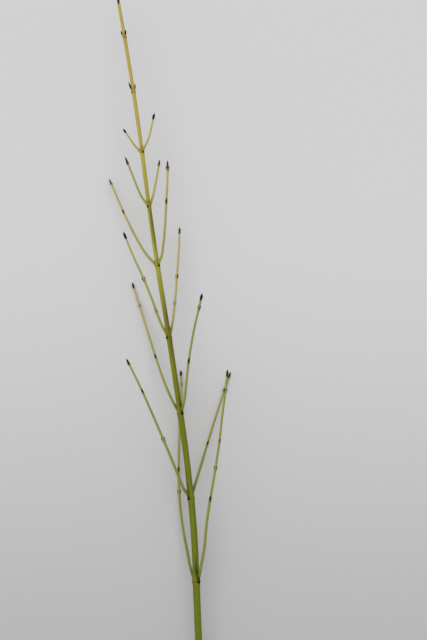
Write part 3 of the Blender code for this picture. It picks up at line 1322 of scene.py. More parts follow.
@dataclass(frozen=True)
class WoodFinish:
    """Freshly cut wood: pale pith, cream wood in yearly rings, green cambium and bark.

    Attributes:
        name: Name of the material.
        rings: The colour from the middle, 0, to the rim, 1.
        ray: The colour of the rays that cross the rings.
        cut_marks: The marks that the blade left.
        ray_waves: Waves of the rays, twice round the face and once outward.
        mark_waves: Waves a millimetre of the blade's marks, across the face, up it and through.
        relief: Depth of the relief in millimetres.
        gloss: The shader's specular level.
    """

    name: str = "cut_wood"
    rings: Ramp = ramped(
        (0.0, 232, 224, 202),
        (0.17, 226, 214, 186),
        (0.20, 168, 142, 92),
        (0.23, 214, 200, 152),
        (0.46, 220, 207, 160),
        (0.49, 190, 170, 116),
        (0.52, 218, 204, 156),
        (0.72, 212, 199, 148),
        (0.75, 186, 168, 112),
        (0.78, 214, 204, 150),
        (0.88, 196, 192, 122),
        (0.91, 134, 146, 62),
        (0.95, 112, 118, 46),
        (0.98, 84, 82, 32),
        (1.0, 70, 68, 28),
    )
    ray: Colour = shown(188, 168, 116)
    cut_marks: Overlay = Overlay(shown(172, 150, 98), 0.56, 0.72, 0.30)
    ray_waves: Point = (16.0, 16.0, 0.4)
    mark_waves: Point = (0.25, 2.6, 0.25)
    relief: float = 0.12
    gloss: float = 0.25

    def material(self) -> bpy.types.Material:
        """The cut face's nodes: rings with a slight wobble, fine rays and blade marks.

        Returns:
            The material.
        """
        graph = Graph(self.name)
        disc = graph.field("disc", "Vector")
        wobble = graph.noise(disc, (0.5, 0.5, 0.5), 2.0)
        share = graph.field("ring_share")
        colour = graph.ramp(share + wobble.sway(0.05), self.rings)
        wood = graph.between(share, 0.20, 0.26) * (1 - graph.between(share, 0.84, 0.90))
        spokes = graph.noise(graph.field("spoke", "Vector"), self.ray_waves, 2.0)
        rays = graph.between(spokes, 0.52, 0.70)
        colour = graph.mix(rays * wood * 0.45, colour, self.ray)
        marks = graph.noise(disc, self.mark_waves)
        colour = graph.overlaid(colour, marks, self.cut_marks)
        relief = graph.bump(marks * 0.6 + rays * 0.4, self.relief)
        return graph.finish(colour, 0.66 + marks * 0.16, self.gloss, relief)


# The barks' colours by ripeness, and the two barks.
STEM_RIPENING = ramped(
    (0.0, 84, 96, 14),
    (0.26, 100, 113, 10),
    (0.50, 106, 119, 14),
    (0.57, 122, 130, 24),
    (0.62, 142, 147, 40),
    (0.66, 156, 158, 52),
    (0.70, 172, 166, 60),
    (0.78, 180, 171, 74),
    (0.86, 190, 171, 84),
    (1.0, 189, 167, 88),
)
TWIG_RIPENING = ramped(
    (0.0, 96, 107, 36),
    (0.30, 124, 133, 56),
    (0.55, 154, 157, 78),
    (0.80, 180, 174, 103),
    (1.0, 200, 184, 123),
)
STEM_BARK = BarkFinish("stem_bark", STEM_RIPENING, STEM_RIPENING)
TWIG_BARK = BarkFinish("twig_bark", TWIG_RIPENING, STEM_RIPENING)


# ---- The main stem ------------------------------------------------------------------------


@dataclass(frozen=True)
class BudPair:
    """Two side buds at one node of the main stem.

    Attributes:
        height: Height of the node above the heel of the cut.
        turns: Angle of each bud round the stem, in degrees from the level right-hand side.
        lengths: Length of each bud.
        widths: Widest radius of each bud.
        stand: How far above the node their feet are.
        raised: How far the swollen bark under their feet stands above the plain bark.
    """

    height: float
    turns: tuple[float, float]
    lengths: tuple[float, float]
    widths: tuple[float, float]
    stand: float
    raised: float


@dataclass(frozen=True)
class StemLine:
    """The main stem's line, and heights above the heel of its cut.

    Attributes:
        course: The line and the girth along it.
        heel: The lowest point of the cut, under the middle of the butt.
    """

    course: Course
    heel: Array

    @property
    def butt(self) -> Array:
        """The middle of the cut, which is the line's second point."""
        return self.course.points[1]

    @property
    def reach(self) -> float:
        """Height of the tip above the heel."""
        return float(self.course.points[-1, 1] - self.heel[1])

    def height(self, distance: Array) -> Array:
        """Height above the heel at some distances along the line."""
        return self.course.at(distance)[..., 1] - self.heel[1]

    def place_of(self, height: float) -> float:
        """How far along the line a height above the heel is."""
        heights = self.course.points[:, 1]
        return float(np.interp(height + self.heel[1], heights, self.course.places))


@dataclass(frozen=True)
class MainStem:
    """The cut shoot itself: its bark, its side buds, its leading bud and its slanting cut.

    Attributes:
        node: Name of its CAD node.
        twig_heights: Heights above the heel of the nodes that bear twigs.
        scar_rise: How much higher than usual the leaf scars of those nodes are.
        folds: Length, turn in degrees at its upper end and strength of the dark line of painted
        shade, with some brown staining, that runs up the bark from the fold above each node's
        upper twig.
        bud_pairs: The nodes that bear only buds.
        leading_bud: Length of the leading bud.
        leading_fullness: Its radius as a share of the stem's.
        leading_turn: Angle of the two small buds at its foot.
        leading_pattern: Where it begins in the pattern.
        bud_pattern: How far apart the side buds begin in it.
        upturn: How far a twig's upper leaf scar is turned towards the top, as a share of the
            way there.
        lean: Angle between a side bud and the stem.
        cut_angle: Angle between the cut and the stem.
        cut_blend: Length over which the rings turn from the cut's slant to square.
        cut_depth: How deep the bark's inner side reaches under the cut.
        cut_edge: How far the bark is rounded in at the cut, as a share of the radius, and the
            reach of that rounding.
        heel_reach: How far up the solid its butt is looked at to find the heel.
        on_cut: How near the cut a point of the solid has to be to count as on it.
        lead: How far before the middle of the cut the stem's line starts.
        first_slice: Height of the first slice above the heel.
        slicing: Where the solid is cut.
        wood_share: The wood's share of the radius, the rest being bark.
        gap: How far inside the wood the bark's inner side is, as a share of the radius.
        face_rings: Rings of the cut face.
        face_lift: How far the face stands out of the cut.
        face_back: How far its back is under the cut.
        pith: Depth of the hollow at the pith, and its reach as a share of the radius.
        saw: Depth of the blade's marks, and how many radians they pass in a millimetre along
            X, Y and Z.
        step_reach: Half of the length over which the stem steps in above a node.
        node_tint: How far above a node its colour is strongest, and the reach of that colour,
            both as shares of the girth.
        blush: Height above the heel and strength of the darkened right-hand side, which is partly
            the bark's own colour and partly painted shade.
        fold_swing: Length over which a fold's line moves to its upper turn, at the most.
        fold_start: How far before the node the lines start.
        fold_widths: Half width of a fold's line where it is faint and what it gains where dark.
        low_fold: Length, half width and strength of the line above each node's lower twig.
        layout: How its bark is laid out.
    """

    node: str = "main_stem"
    twig_heights: tuple[float, ...] = (307, 408, 512, 602, 688, 758, 823)
    scar_rise: tuple[float, ...] = (0.7, 0.8, -1.4, 0.0, -1.0, -0.3, -0.5)
    folds: tuple[tuple[float, float, float], ...] = (
        (38, 84, 1.4),
        (56, 160, 1.4),
        (28, 52, 1.2),
        (12, 120, 0.6),
        (14, 44, 0.8),
        (9, 110, 0.8),
        (8, 60, 0.6),
    )
    bud_pairs: tuple[BudPair, ...] = (
        BudPair(96, (45, 225), (4.8, 4.6), (1.3, 1.3), 1.2, 1.5),
        BudPair(203, (-45, 135), (5.0, 5.2), (1.3, 1.3), 1.2, 1.4),
        BudPair(894, (-30, 155), (7.5, 10.5), (1.1, 1.2), 2.2, 0.0),
        BudPair(960, (35, 205), (6.5, 7.0), (1.1, 1.2), 1.6, 0.0),
    )
    leading_bud: float = 9.0
    leading_fullness: float = 0.80
    leading_turn: float = radians(105)
    leading_pattern: float = 400.0
    bud_pattern: float = 40.0
    upturn: float = 0.3
    lean: float = radians(14)
    cut_angle: float = radians(40)
    cut_blend: float = 32.0
    cut_depth: float = 1.5
    cut_edge: tuple[float, float] = (0.03, 0.35)
    heel_reach: float = 14.0
    on_cut: float = 0.12
    lead: float = 8.0
    first_slice: float = 18.0
    slicing: Slicing = Slicing(
        sides=10, step=4.0, below=9.0, above=13.0, end_gap=1.0, end_depth=0.3
    )
    wood_share: float = 0.945
    gap: float = 0.01
    face_rings: int = 46
    face_lift: float = 0.05
    face_back: float = 0.25
    pith: tuple[float, float] = (0.22, 0.16)
    saw: tuple[float, Point] = (0.03, (1.86, 5.89, 0.0))
    step_reach: float = 1.5
    node_tint: tuple[float, float] = (0.6, 1.6)
    blush: tuple[tuple[float, float], ...] = (
        (0, 0.12),
        (400, 0.14),
        (520, 0.30),
        (560, 0.55),
        (605, 0.90),
        (630, 0.85),
        (655, 0.35),
        (695, 0.20),
        (715, 0.80),
        (750, 0.85),
        (768, 0.35),
        (820, 0.18),
        (1010, 0.16),
    )
    fold_swing: float = 14.0
    fold_start: float = 1.0
    fold_widths: tuple[float, float] = (1.0, 0.9)
    low_fold: tuple[float, float, float] = (7.0, 1.1, 0.7)
    layout: BarkLayout = BarkLayout(
        columns=56,
        spacing=Spacing(coarse=1.8, fine=0.24, reach=5.0),
        ring_shift=1.5,
        overlap=0.8,
        loss=0.25,
        loss_length=1.2,
        blush_and_shade_turn=radians(15),
        blush_and_shade_edge=0.62,
        nodes=NodeShape(
            swelling=0.10,
            swelling_reach=1.4,
            widening=0.5,
            cushion=0.11,
            cushion_below=0.95,
            cushion_above=0.42,
            drop=0.50,
            lift=0.35,
            thick=0.58,
            thin=0.06,
            width=0.62,
            line_strength=0.30,
            collar=0.20,
        ),
    )

    @property
    def node_heights(self) -> Array:
        """Heights of all nodes above the heel, from low to high."""
        return np.sort(np.array([*self.twig_heights, *(pair.height for pair in self.bud_pairs)]))

    @property
    def cut_normal(self) -> Array:
        """The direction that the cut faces."""
        return np.array((0.0, -sin(self.cut_angle), cos(self.cut_angle)))

    def line(self, shell: Shell) -> StemLine:
        """Reads the stem's middle line and girth from slices of its solid.

        Slices near the side buds are left out. Between two nodes the girth is a straight line
        fitted to the slices, and it steps at the nodes.

        Args:
            shell: The stem's CAD solid.

        Returns:
            The line, which starts before the middle of the cut.
        """
        run = np.array((0.0, 1.0, 0.0))
        corner = shell.points.min(axis=0)
        near = shell.points[shell.points[:, 1] < corner[1] + self.heel_reach]
        heel = np.array((near[:, 0].mean(), corner[1], corner[2]))
        to_cut = np.abs((shell.points - heel) @ self.cut_normal)
        butt = np.unique(shell.points[to_cut < self.on_cut].round(3), axis=0).mean(axis=0)
        tip = shell.end(run, self.slicing.end_depth)
        nodes = self.node_heights + heel[1]
        heights = self.slicing.heights(heel[1] + self.first_slice, tip[1], nodes)
        middles, areas = shell.cuts(run, heights)
        before = butt - self.lead * unit(middles[1] - butt)
        points = np.vstack((before, butt, middles, tip))

        radii = self.slicing.radii(middles, areas, run)
        edges = np.concatenate(([heel[1]], nodes, [tip[1] - self.leading_bud]))
        girths = []
        for low, high in zip(edges[:-1], edges[1:]):
            inside = (heights > low) & (heights < high)
            slope, start = np.polyfit(heights[inside] - low, radii[inside], 1)
            girths += [start, start + slope * (high - low)]
        along = walked(points)
        at_nodes = np.interp(nodes, points[:, 1], along)
        steps = np.add.outer(at_nodes, (-self.step_reach, self.step_reach)).ravel()
        places = np.concatenate(([0.0], steps, [along[-1] - self.leading_bud]))
        return StemLine(Course(points, places, np.array(girths)), heel)

    def cut_places(self, line: StemLine) -> Array:
        """Where the bark of each column meets the cut, found by Newton steps.

        A step takes off the height of the column's point above the cut, over how fast that
        height changes along the stem.

        Args:
            line: The stem's line.

        Returns:
            One distance along the stem for each column.
        """
        place = np.full(self.layout.columns, self.lead)
        for _ in range(NEWTON_STEPS):
            sweep = Sweep(line.course, place[None], self.layout.angle)
            points = sweep.points(sweep.girth)[0]
            slope = line.course.heading(place) @ self.cut_normal
            place = place - ((points - line.heel) @ self.cut_normal) / slope
        return place

    def bark(self, line: StemLine, pairs: list[LeafPair]) -> Patch:
        """The bark from the cut to the foot of the leading bud.

        The radius is the plain girth times every node's swelling, times a slow unevenness of
        two waves, plus the leaf ledges. The first rings slide back to lie on the cut, and two
        more inside them give the bark its thickness round the wood.

        Args:
            line: The stem's line.
            pairs: Where the leaves grew.

        Returns:
            The closed bark.
        """
        layout, course = self.layout, line.course
        end = course.length - self.leading_bud + layout.overlap
        rings = layout.rings(end, pairs, [0.0, end])
        rings = np.concatenate(((self.cut_depth, 0.0), rings))[:, None]
        slide = self.cut_places(line) * (1 - eased(rings / self.cut_blend))
        sweep = Sweep(course, rings + slide, layout.angle)

        plain = sweep.girth * self.unevenness(sweep)
        radius, scars = layout.nodes.shaped(sweep, plain, pairs)
        rounding, edge_reach = self.cut_edge
        tight = (1 - rounding * hill(rings, edge_reach)) * layout.narrowed(rings, end)
        tight[:2] = self.wood_share - self.gap
        radius = radius * tight

        height = line.height(sweep.distance)
        # Darkened right-hand side by height: partly the bark's own colour, partly painted shade.
        heights, strengths = np.array(self.blush).T
        above, reach = self.node_tint
        tints = [hill(sweep.ahead(pair.distance) - above, reach) for pair in pairs]
        fields = {
            "straightened": straightened(sweep.distance, sweep.angle, radius, 0.0),
            "ripeness": height / line.reach,
            "stem_ripeness": 0.0,
            "foot": 0.0,
            "blush": np.interp(height, heights, strengths) * layout.darkened(),
            "node_tint": np.maximum.reduce(tints),
            "stain": self.fold_shade_lines(sweep, pairs),
            **scars,
        }
        return Patch.from_grid(sweep.points(radius), fields)

    def unevenness(self, sweep: Sweep) -> Array:
        """Factor on the radius: two slow waves along the stem and a faint squareness.

        Args:
            sweep: The bark's rings.

        Returns:
            The factor at each point.
        """
        distance, angle = sweep.distance, sweep.angle
        waves = 0.010 * np.sin(distance / 9.7 + 1.3) + 0.008 * np.sin(distance / 4.1 + 2 * angle)
        return 1 + waves + 0.008 * np.cos(4 * angle + distance / 60)

    def fold_shade_lines(self, sweep: Sweep, pairs: list[LeafPair]) -> Array:
        """The dark lines that run up from the folds above the twigs, narrow and fading.

        A line starts at its twig's turn and eases over to the turn of its upper end. Its
        strength is a hill across the line times a share that fades away along it. The fold
        above the lower twig has a short one that runs straight on.

        Args:
            sweep: The bark's rings.
            pairs: The pairs of twigs, in the order of the folds.

        Returns:
            The strength at each point, which is full from 1 on.
        """
        # The lines are painted shade running up from the folds, with some brown staining.
        faint, gain = self.fold_widths
        low_length, low_width, low_strength = self.low_fold
        lines = []
        for pair, (length, end_turn, strength) in zip(pairs, self.folds):
            ahead = sweep.distance - pair.distance
            upper, lower = max(pair.turns, key=sin), min(pair.turns, key=sin)
            swing = eased(ahead / min(length, self.fold_swing))
            turn = upper + wrapped(radians(end_turn) - upper) * swing
            begun = eased(ahead + self.fold_start)
            long, short = (begun * (1 - eased(ahead / run)) for run in (length, low_length))
            aside, low_aside = (sweep.girth * wrapped(sweep.angle - way) for way in (turn, lower))
            lines.append(strength * long * hill(aside, faint + gain * long))
            lines.append(low_strength * short * hill(low_aside, low_width))
        return np.maximum.reduce(lines)

    def cut_face(self, line: StemLine) -> Patch:
        """The slanting cut as a thin closed disc that fills the bark's mouth.

        Its front is a fan of rings from the pith to the rim, each point a share of the way
        from the middle to the rim, a little hollow at the pith. Its back follows the same
        rings the other way, under the cut.

        Args:
            line: The stem's line.

        Returns:
            The closed disc.
        """
        angle = self.layout.angle
        sweep = Sweep(line.course, self.cut_places(line)[None], angle)
        rim = sweep.points(sweep.girth * self.wood_share * self.unevenness(sweep))[0]
        middle = rim.mean(axis=0)
        front = np.linspace(0.02, 1.0, self.face_rings)
        share = np.concatenate((front, front[::-1]))[:, None]
        flat = share[..., None] * (rim - middle)
        spread = middle + flat
        hollow, reach = self.pith
        saw_depth, saw_waves = self.saw
        marks = saw_depth * np.sin(spread @ np.array(saw_waves)) * (1 - share)
        raised = self.face_lift - hollow * hill(share, reach) + marks
        depth = np.where(np.arange(len(share))[:, None] < len(front), raised, -self.face_back)
        level = np.array((1.0, 0.0, 0.0))
        across, up = flat @ level, flat @ np.cross(self.cut_normal, level)
        fields = {
            "ring_share": share,
            "disc": np.stack((across, up, 0 * across), axis=-1),
            "spoke": np.stack(np.broadcast_arrays(np.cos(angle), np.sin(angle), share), axis=-1),
        }
        return Patch.from_grid(spread + depth[..., None] * self.cut_normal, fields)

    def buds(self, line: StemLine) -> Patch:
        """The side buds of the nodes without twigs, and the leading bud.

        Args:
            line: The stem's line.

        Returns:
            All the stem's buds as one surface.
        """
        made = []
        for pair in self.bud_pairs:
            place = line.place_of(pair.height + pair.stand)
            for turn, length, width in zip(pair.turns, pair.lengths, pair.widths):
                size = (length, width, self.lean, pair.raised)
                start = self.bud_pattern * len(made)
                made.append(SIDE_BUD.on_bark(line.course, place, radians(turn), *size, start))
        leading = (self.leading_bud, self.leading_fullness, self.leading_turn)
        made += closing_buds(line.course, LEADING_BUD, *leading, self.leading_pattern)
        return Patch.together(made)

    def pairs(self, line: StemLine, turns: list[tuple[float, float]]) -> list[LeafPair]:
        """Where leaves grew on the stem, the upper ones a little nearer the top than the twigs.

        Args:
            line: The stem's line.
            turns: For each node with twigs, the angles of its twigs.

        Returns:
            Every pair, the nodes with twigs first.
        """
        found = []
        for height, both in zip(np.add(self.twig_heights, self.scar_rise), turns):
            first, second = (
                turn + self.upturn * (sin(turn) > 0) * wrapped(pi / 2 - turn) for turn in both
            )
            found.append(LeafPair(line.place_of(height), (first, second)))
        for pair in self.bud_pairs:
            first, second = (radians(turn) for turn in pair.turns)
            found.append(LeafPair(line.place_of(pair.height), (first, second)))
        return found


def closing_buds(
    course: Course, shape: BudShape, length: float, fullness: float, turn: float, start: float
) -> list[Patch]:
    """The bud that ends a rod and the two small ones at its foot.

    Args:
        course: The rod's line, which ends at the bud's tip.
        shape: Shape of the closing bud.
        length: Length of the closing bud.
        fullness: Its radius as a share of the rod's.
        turn: Angle of the small buds round the rod.
        start: Where the buds begin in the pattern.

    Returns:
        The three buds.
    """
    foot = course.length - length
    width = float(course.girth(foot)) * fullness
    line = course.at(np.linspace(foot, course.length, 12))
    made = [shape.patch(line, UP, width, turn + pi / 2, start)]
    small_size = (0.38 * length, 0.46 * width)
    lean, drop, later = radians(9), 0.6, start + 20
    for side in (turn, turn + pi):
        made.append(SIDE_BUD.on_bark(course, foot - drop, side, *small_size, lean, 0.0, later))
    return made


# ---- The side twigs -----------------------------------------------------------------------


@dataclass(frozen=True)
class SideTwig:
    """One side twig: its bark, its small buds and the bud that ends it.

    Attributes:
        node: Name of its CAD node.
        bud_length: Length of its closing bud.
        ripeness: How ripe its bark is at the stem and at its tip.
        pairs: Share of its length, turn in degrees and size of each pair of small buds.
        blush: How far its right-hand side is darkened, partly in its own colour and partly by
            painted shade.
        bud_fullness: Radius of its closing bud as a share of its own.
        bud_browning: How far the brown of the closing bud's foot is drawn up.
        slicing: Where its solid is cut.
        plain: How far past the first cut and before the closing bud the girth is plain.
        bud_size: Length and widest radius of a small bud.
        bud_pattern: How far apart its buds begin in the pattern.
        last_pair: How far past the closing bud's foot the last pair of leaves grew.
        lone_turn: Angle of that pair, in degrees, where it is the only one.
        lean: Angle between a small bud and the twig.
        fullness: Radius of its bark as a share of the solid's.
        flare: Share of the radius that it adds where it leaves the stem.
        flare_reach: Reach of that flare.
        foot_fade: Where, past the stem's bark, its colour starts to give way to the twig's
            own, and over what length.
        foot_tint: Strength and reach of the node's colour on the foot.
        node_tint: Reach of that colour at the twig's own nodes.
        fold: Strength, reach round the twig and reach along it of the painted shade, with some
            brown staining, in the fold.
        fold_place: How far past the stem's bark the middle of the fold is.
        deepest: How far below its node the twig may start inside the stem, as a share of the
            stem's radius.
        foot_reach: Length of the foot that the slices leave out, as a share of the stem's
            radius.
        search: Length of the foot in which the twig comes out of the stem.
        past: How far past the stem's bark its direction is read.
        step_clear: How far above its node the stem has its plain girth.
        layout: How its bark is laid out.
    """

    node: str
    bud_length: float
    ripeness: tuple[float, float]
    pairs: tuple[tuple[float, float, float], ...] = ()
    blush: float = 0.25
    bud_fullness: float = 1.2
    bud_browning: float = 1.0
    slicing: Slicing = Slicing(
        sides=8, step=2.5, below=3.5, above=6.0, end_gap=0.6, end_depth=0.15
    )
    plain: tuple[float, float] = (10.0, 2.0)
    bud_size: tuple[float, float] = (4.3, 0.85)
    bud_pattern: float = 9.0
    last_pair: float = 0.5
    lone_turn: float = 150.0
    lean: float = radians(8)
    fullness: float = 1.12
    flare: float = 0.45
    flare_reach: float = 4.5
    foot_fade: tuple[float, float] = (1.0, 14.0)
    foot_tint: tuple[float, float] = (0.5, 3.0)
    node_tint: float = 1.4
    fold: tuple[float, float, float] = (0.75, 0.9, 2.6)
    fold_place: float = 0.6
    deepest: float = 0.8
    foot_reach: float = 5.5
    search: float = 30.0
    past: float = 1.0
    step_clear: float = 3.0
    layout: BarkLayout = BarkLayout(
        columns=24,
        spacing=Spacing(coarse=1.6, fine=0.16, reach=2.2),
        ring_shift=0.6,
        overlap=0.6,
        loss=0.20,
        loss_length=0.7,
        blush_and_shade_turn=0.2,
        blush_and_shade_edge=0.6,
        nodes=NodeShape(
            swelling=0.16,
            swelling_reach=1.6,
            widening=0.5,
            cushion=0.18,
            cushion_below=1.1,
            cushion_above=0.35,
            drop=0.65,
            lift=0.4,
            thick=0.50,
            thin=0.12,
            width=0.70,
            line_strength=0.45,
        ),
    )

    def course(self, shell: Shell, stem: Course, place: float) -> Course:
        """Reads the twig's middle line and girth from slices of its solid.

        The slices are square to the way from the stem to the twig's tip. Those near its foot
        and its small buds are left out, and the girth is a straight line fitted to the rest.

        Args:
            shell: The twig's CAD solid.
            stem: The stem's line.
            place: How far along it the twig's node is.

        Returns:
            The line from the middle of the stem to the tip.
        """
        start, upward = stem.at(place), stem.heading(place)
        farthest = np.linalg.norm(shell.points - start, axis=1).argmax()
        run = unit(shell.points[farthest] - start)
        tip = shell.end(run, self.slicing.end_depth)
        low, high = start @ run, tip @ run
        buds = low + np.array([share for share, *_ in self.pairs]) * (high - low)
        first = low + self.foot_reach * stem.girth(place)
        middles, areas = shell.cuts(run, self.slicing.heights(first, high, buds))

        points = np.vstack((self.foot(stem, place, middles), middles, tip))
        places = walked(points)
        inner, length = places[1:-1], places[-1]
        after, before = self.plain
        plain = (inner > inner[0] + after) & (inner < length - self.bud_length - before)
        radii = self.slicing.radii(middles, areas, run)
        slope, at_start = np.polyfit(inner[plain], radii[plain], 1)
        ends = np.array((0.0, length))
        cad_length = walked(np.vstack((start, middles, tip)))[-1]

        early = np.arange(0.0, self.search, STRIDE)
        beside = square_to(smooth_through(places, points, early) - start, upward)
        away = np.maximum.accumulate(np.linalg.norm(beside, axis=1))
        leaves = float(np.interp(stem.girth(place + self.step_clear), away, early))
        return Course(points, ends, at_start + slope * ends, length - cad_length, leaves)

    def foot(self, stem: Course, place: float, middles: Array) -> Array:
        """The point of the stem's line where the twig's line starts.

        Below the first cut the twig runs straight on, and this is the point that it passes
        nearest, unless that is too deep.

        Args:
            stem: The stem's line.
            place: How far along it the twig's node is.
            middles: Middles of the twig's cuts.

        Returns:
            The point.
        """
        upward = stem.heading(place)
        back = unit(middles[0] - middles[2])
        offset = middles[0] - stem.at(place)
        aside, drift = square_to(offset, upward), square_to(back, upward)
        nearest = offset - (aside @ drift) / (drift @ drift) * back
        return stem.at(place + max(nearest @ upward, -self.deepest * stem.girth(place)))

    def turn_on(self, stem: Course, place: float, course: Course) -> float:
        """The angle round the stem at which the twig leaves it."""
        return stem.turn_of(place, course.at(course.leaves + self.past) - stem.at(place))

    def leaf_pairs(self, course: Course) -> list[LeafPair]:
        """Where leaves grew on the twig, the last of them at its closing bud.

        Args:
            course: The twig's line.

        Returns:
            Every pair.
        """
        reach = course.length - course.origin
        found = [
            LeafPair(course.origin + share * reach, (radians(turn), radians(turn) + pi), size)
            for share, turn, size in self.pairs
        ]
        turn = self.closing_turn
        last = course.length - self.bud_length + self.last_pair
        return [*found, LeafPair(last, (turn, turn + pi))]

    @property
    def closing_turn(self) -> float:
        """Angle of the last pair, a quarter turn on from the one before."""
        return radians(self.pairs[-1][1] + 90 if self.pairs else self.lone_turn)

    def bark(self, course: Course, upward: Array, stem_share: float, start: float) -> Patch:
        """The bark from inside the stem to the foot of the closing bud.

        The radius is the plain girth times the twig's fullness, a flare at the foot that is
        strongest in the fold above it, a slow unevenness and every node's swelling, plus the
        leaf ledges.

        Args:
            course: The twig's line.
            upward: The stem's own direction where the twig leaves it.
            stem_share: Share of the stem's height at which that is.
            start: Where the twig begins in the pattern.

        Returns:
            The closed bark.
        """
        layout, angle = self.layout, self.layout.angle
        pairs = self.leaf_pairs(course)
        end = course.length - self.bud_length + layout.overlap
        distance = layout.rings(end, pairs, [course.leaves])[:, None] + 0 * angle
        sweep = Sweep(course, distance, angle)

        beyond = np.maximum(distance - course.leaves, 0)
        inner = course.turn_of(course.leaves + 2 * self.past, upward)
        lobe = 0.2 + 0.8 * eased(0.5 + 0.5 * np.cos(angle - inner))
        flared = 1 + self.flare * hill(beyond, self.flare_reach) * lobe
        uneven = 1 + 0.012 * np.sin(distance / 6.1 + start) + 0.010 * np.cos(4 * angle)
        plain = sweep.girth * self.fullness * flared * uneven
        radius, scars = layout.nodes.shaped(sweep, plain, pairs)
        radius = radius * layout.narrowed(distance, end)

        foot_strength, foot_reach = self.foot_tint
        tints = [hill(distance - pair.distance, self.node_tint) for pair in pairs]
        # Painted shade, with some brown staining, in the fold between the twig's foot and the stem.
        stain, fold_width, fold_length = self.fold
        fold = hill(wrapped(angle - inner), fold_width)
        fold = fold * hill(beyond - self.fold_place, fold_length)
        fade_start, fade_length = self.foot_fade
        unripe, ripe = self.ripeness
        fields = {
            "straightened": straightened(distance, angle, radius, start),
            "ripeness": unripe + (ripe - unripe) * (distance / course.length),
            "stem_ripeness": stem_share,
            "foot": 1 - eased((beyond - fade_start) / fade_length),
            # Darkened right-hand side: partly the twig's own colour, partly painted shade.
            "blush": self.blush * layout.darkened(),
            "node_tint": np.maximum.reduce([foot_strength * hill(beyond, foot_reach), *tints]),
            "stain": stain * fold,
            **scars,
        }
        return Patch.from_grid(sweep.points(radius), fields)

    def buds(self, course: Course, start: float) -> Patch:
        """The twig's small buds in their pairs, and the buds that end it.

        Args:
            course: The twig's line.
            start: Where the buds begin in the pattern.

        Returns:
            All the twig's buds as one surface.
        """
        shape = replace(CLOSING_BUD, browning=self.bud_browning)
        closing = (self.bud_length, self.bud_fullness, self.closing_turn)
        made = closing_buds(course, shape, *closing, start)
        for pair in self.leaf_pairs(course)[:-1]:
            length, width = (pair.size * usual for usual in self.bud_size)
            for turn in pair.turns:
                size = (length, width, self.lean, 0.0)
                begin = start + self.bud_pattern * len(made)
                made.append(SIDE_BUD.on_bark(course, pair.distance, turn, *size, begin))
        return Patch.together(made)


# The twigs of each node, left and right, from the lowest node up.
TWIGS = (
    (
        SideTwig(
            node="twig_1_left",
            bud_length=6.2,
            ripeness=(0.30, 0.78),
            pairs=((0.42, 15, 1.0), (0.525, 90, 1.2), (0.93, 35, 0.8)),
            deepest=1.6,
        ),
        SideTwig(
            node="twig_1_right",
            bud_length=8.0,
            ripeness=(0.38, 0.55),
            pairs=((0.393, 95, 1.35), (0.54, 5, 1.0), (0.67, 60, 1.0), (0.90, 150, 1.0)),
            deepest=2.2,
        ),
    ),
    (
        SideTwig(
            node="twig_2_left",
            bud_length=8.5,
            ripeness=(0.34, 0.62),
            pairs=((0.42, 5, 1.1), (0.76, 80, 1.15)),
            bud_browning=1.4,
        ),
        SideTwig(
            node="twig_2_right",
            bud_length=8.0,
            ripeness=(0.30, 0.75),
            pairs=((0.42, 90, 1.1), (0.84, 10, 1.0)),
            blush=0.4,
        ),
    ),
    (
        SideTwig(
            node="twig_3_left",
            bud_length=7.2,
            ripeness=(0.42, 0.98),
            pairs=((0.43, 100, 1.2), (0.82, 20, 0.7)),
            bud_browning=1.6,
            deepest=1.3,
        ),
        SideTwig(
            node="twig_3_right",
            bud_length=8.0,
            ripeness=(0.58, 0.42),
            pairs=((0.43, 90, 1.35), (0.87, 30, 1.1)),
            bud_fullness=1.5,
            deepest=1.3,
        ),
    ),
    (
        SideTwig(
            node="twig_4_left",
            bud_length=9.0,
            ripeness=(0.52, 0.84),
            pairs=((0.25, 30, 0.7), (0.54, 165, 1.1)),
            bud_fullness=1.5,
        ),
        SideTwig(
            node="twig_4_right",
            bud_length=7.8,
            ripeness=(0.82, 0.95),
            pairs=((0.30, 150, 0.7), (0.54, 45, 1.1)),
            bud_fullness=1.4,
            bud_browning=2.5,
        ),
    ),
    (
        SideTwig(
            node="twig_5_left",
            bud_length=8.0,
            ripeness=(0.74, 0.92),
            pairs=((0.63, 85, 1.15),),
            bud_fullness=0.95,
            bud_browning=3.2,
            deepest=1.2,
            foot_reach=8.0,
        ),
        SideTwig(
            node="twig_5_right",
            bud_length=9.0,
            ripeness=(0.64, 0.95),
            pairs=((0.607, 90, 1.25), (0.915, 5, 1.0)),
            bud_fullness=1.0,
            bud_browning=3.4,
        ),
    ),
    (
        SideTwig(
            node="twig_6_left",
            bud_length=9.6,
            ripeness=(0.62, 0.84),
            bud_fullness=1.05,
            bud_browning=1.5,
            deepest=1.0,
            foot_reach=7.0,
        ),
        SideTwig(
            node="twig_6_right",
            bud_length=7.5,
            ripeness=(0.90, 0.90),
            bud_browning=2.4,
            deepest=1.5,
            foot_reach=8.0,
        ),
    ),
    (
        SideTwig(
            node="twig_7_left",
            bud_length=6.5,
            ripeness=(0.78, 0.84),
            bud_fullness=1.5,
            deepest=1.7,
            foot_reach=7.0,
        ),
        SideTwig(
            node="twig_7_right",
            bud_length=7.5,
            ripeness=(0.90, 1.0),
            bud_fullness=1.5,
            foot_reach=10.0,
        ),
    ),
)


# ---- The studio ---------------------------------------------------------------------------


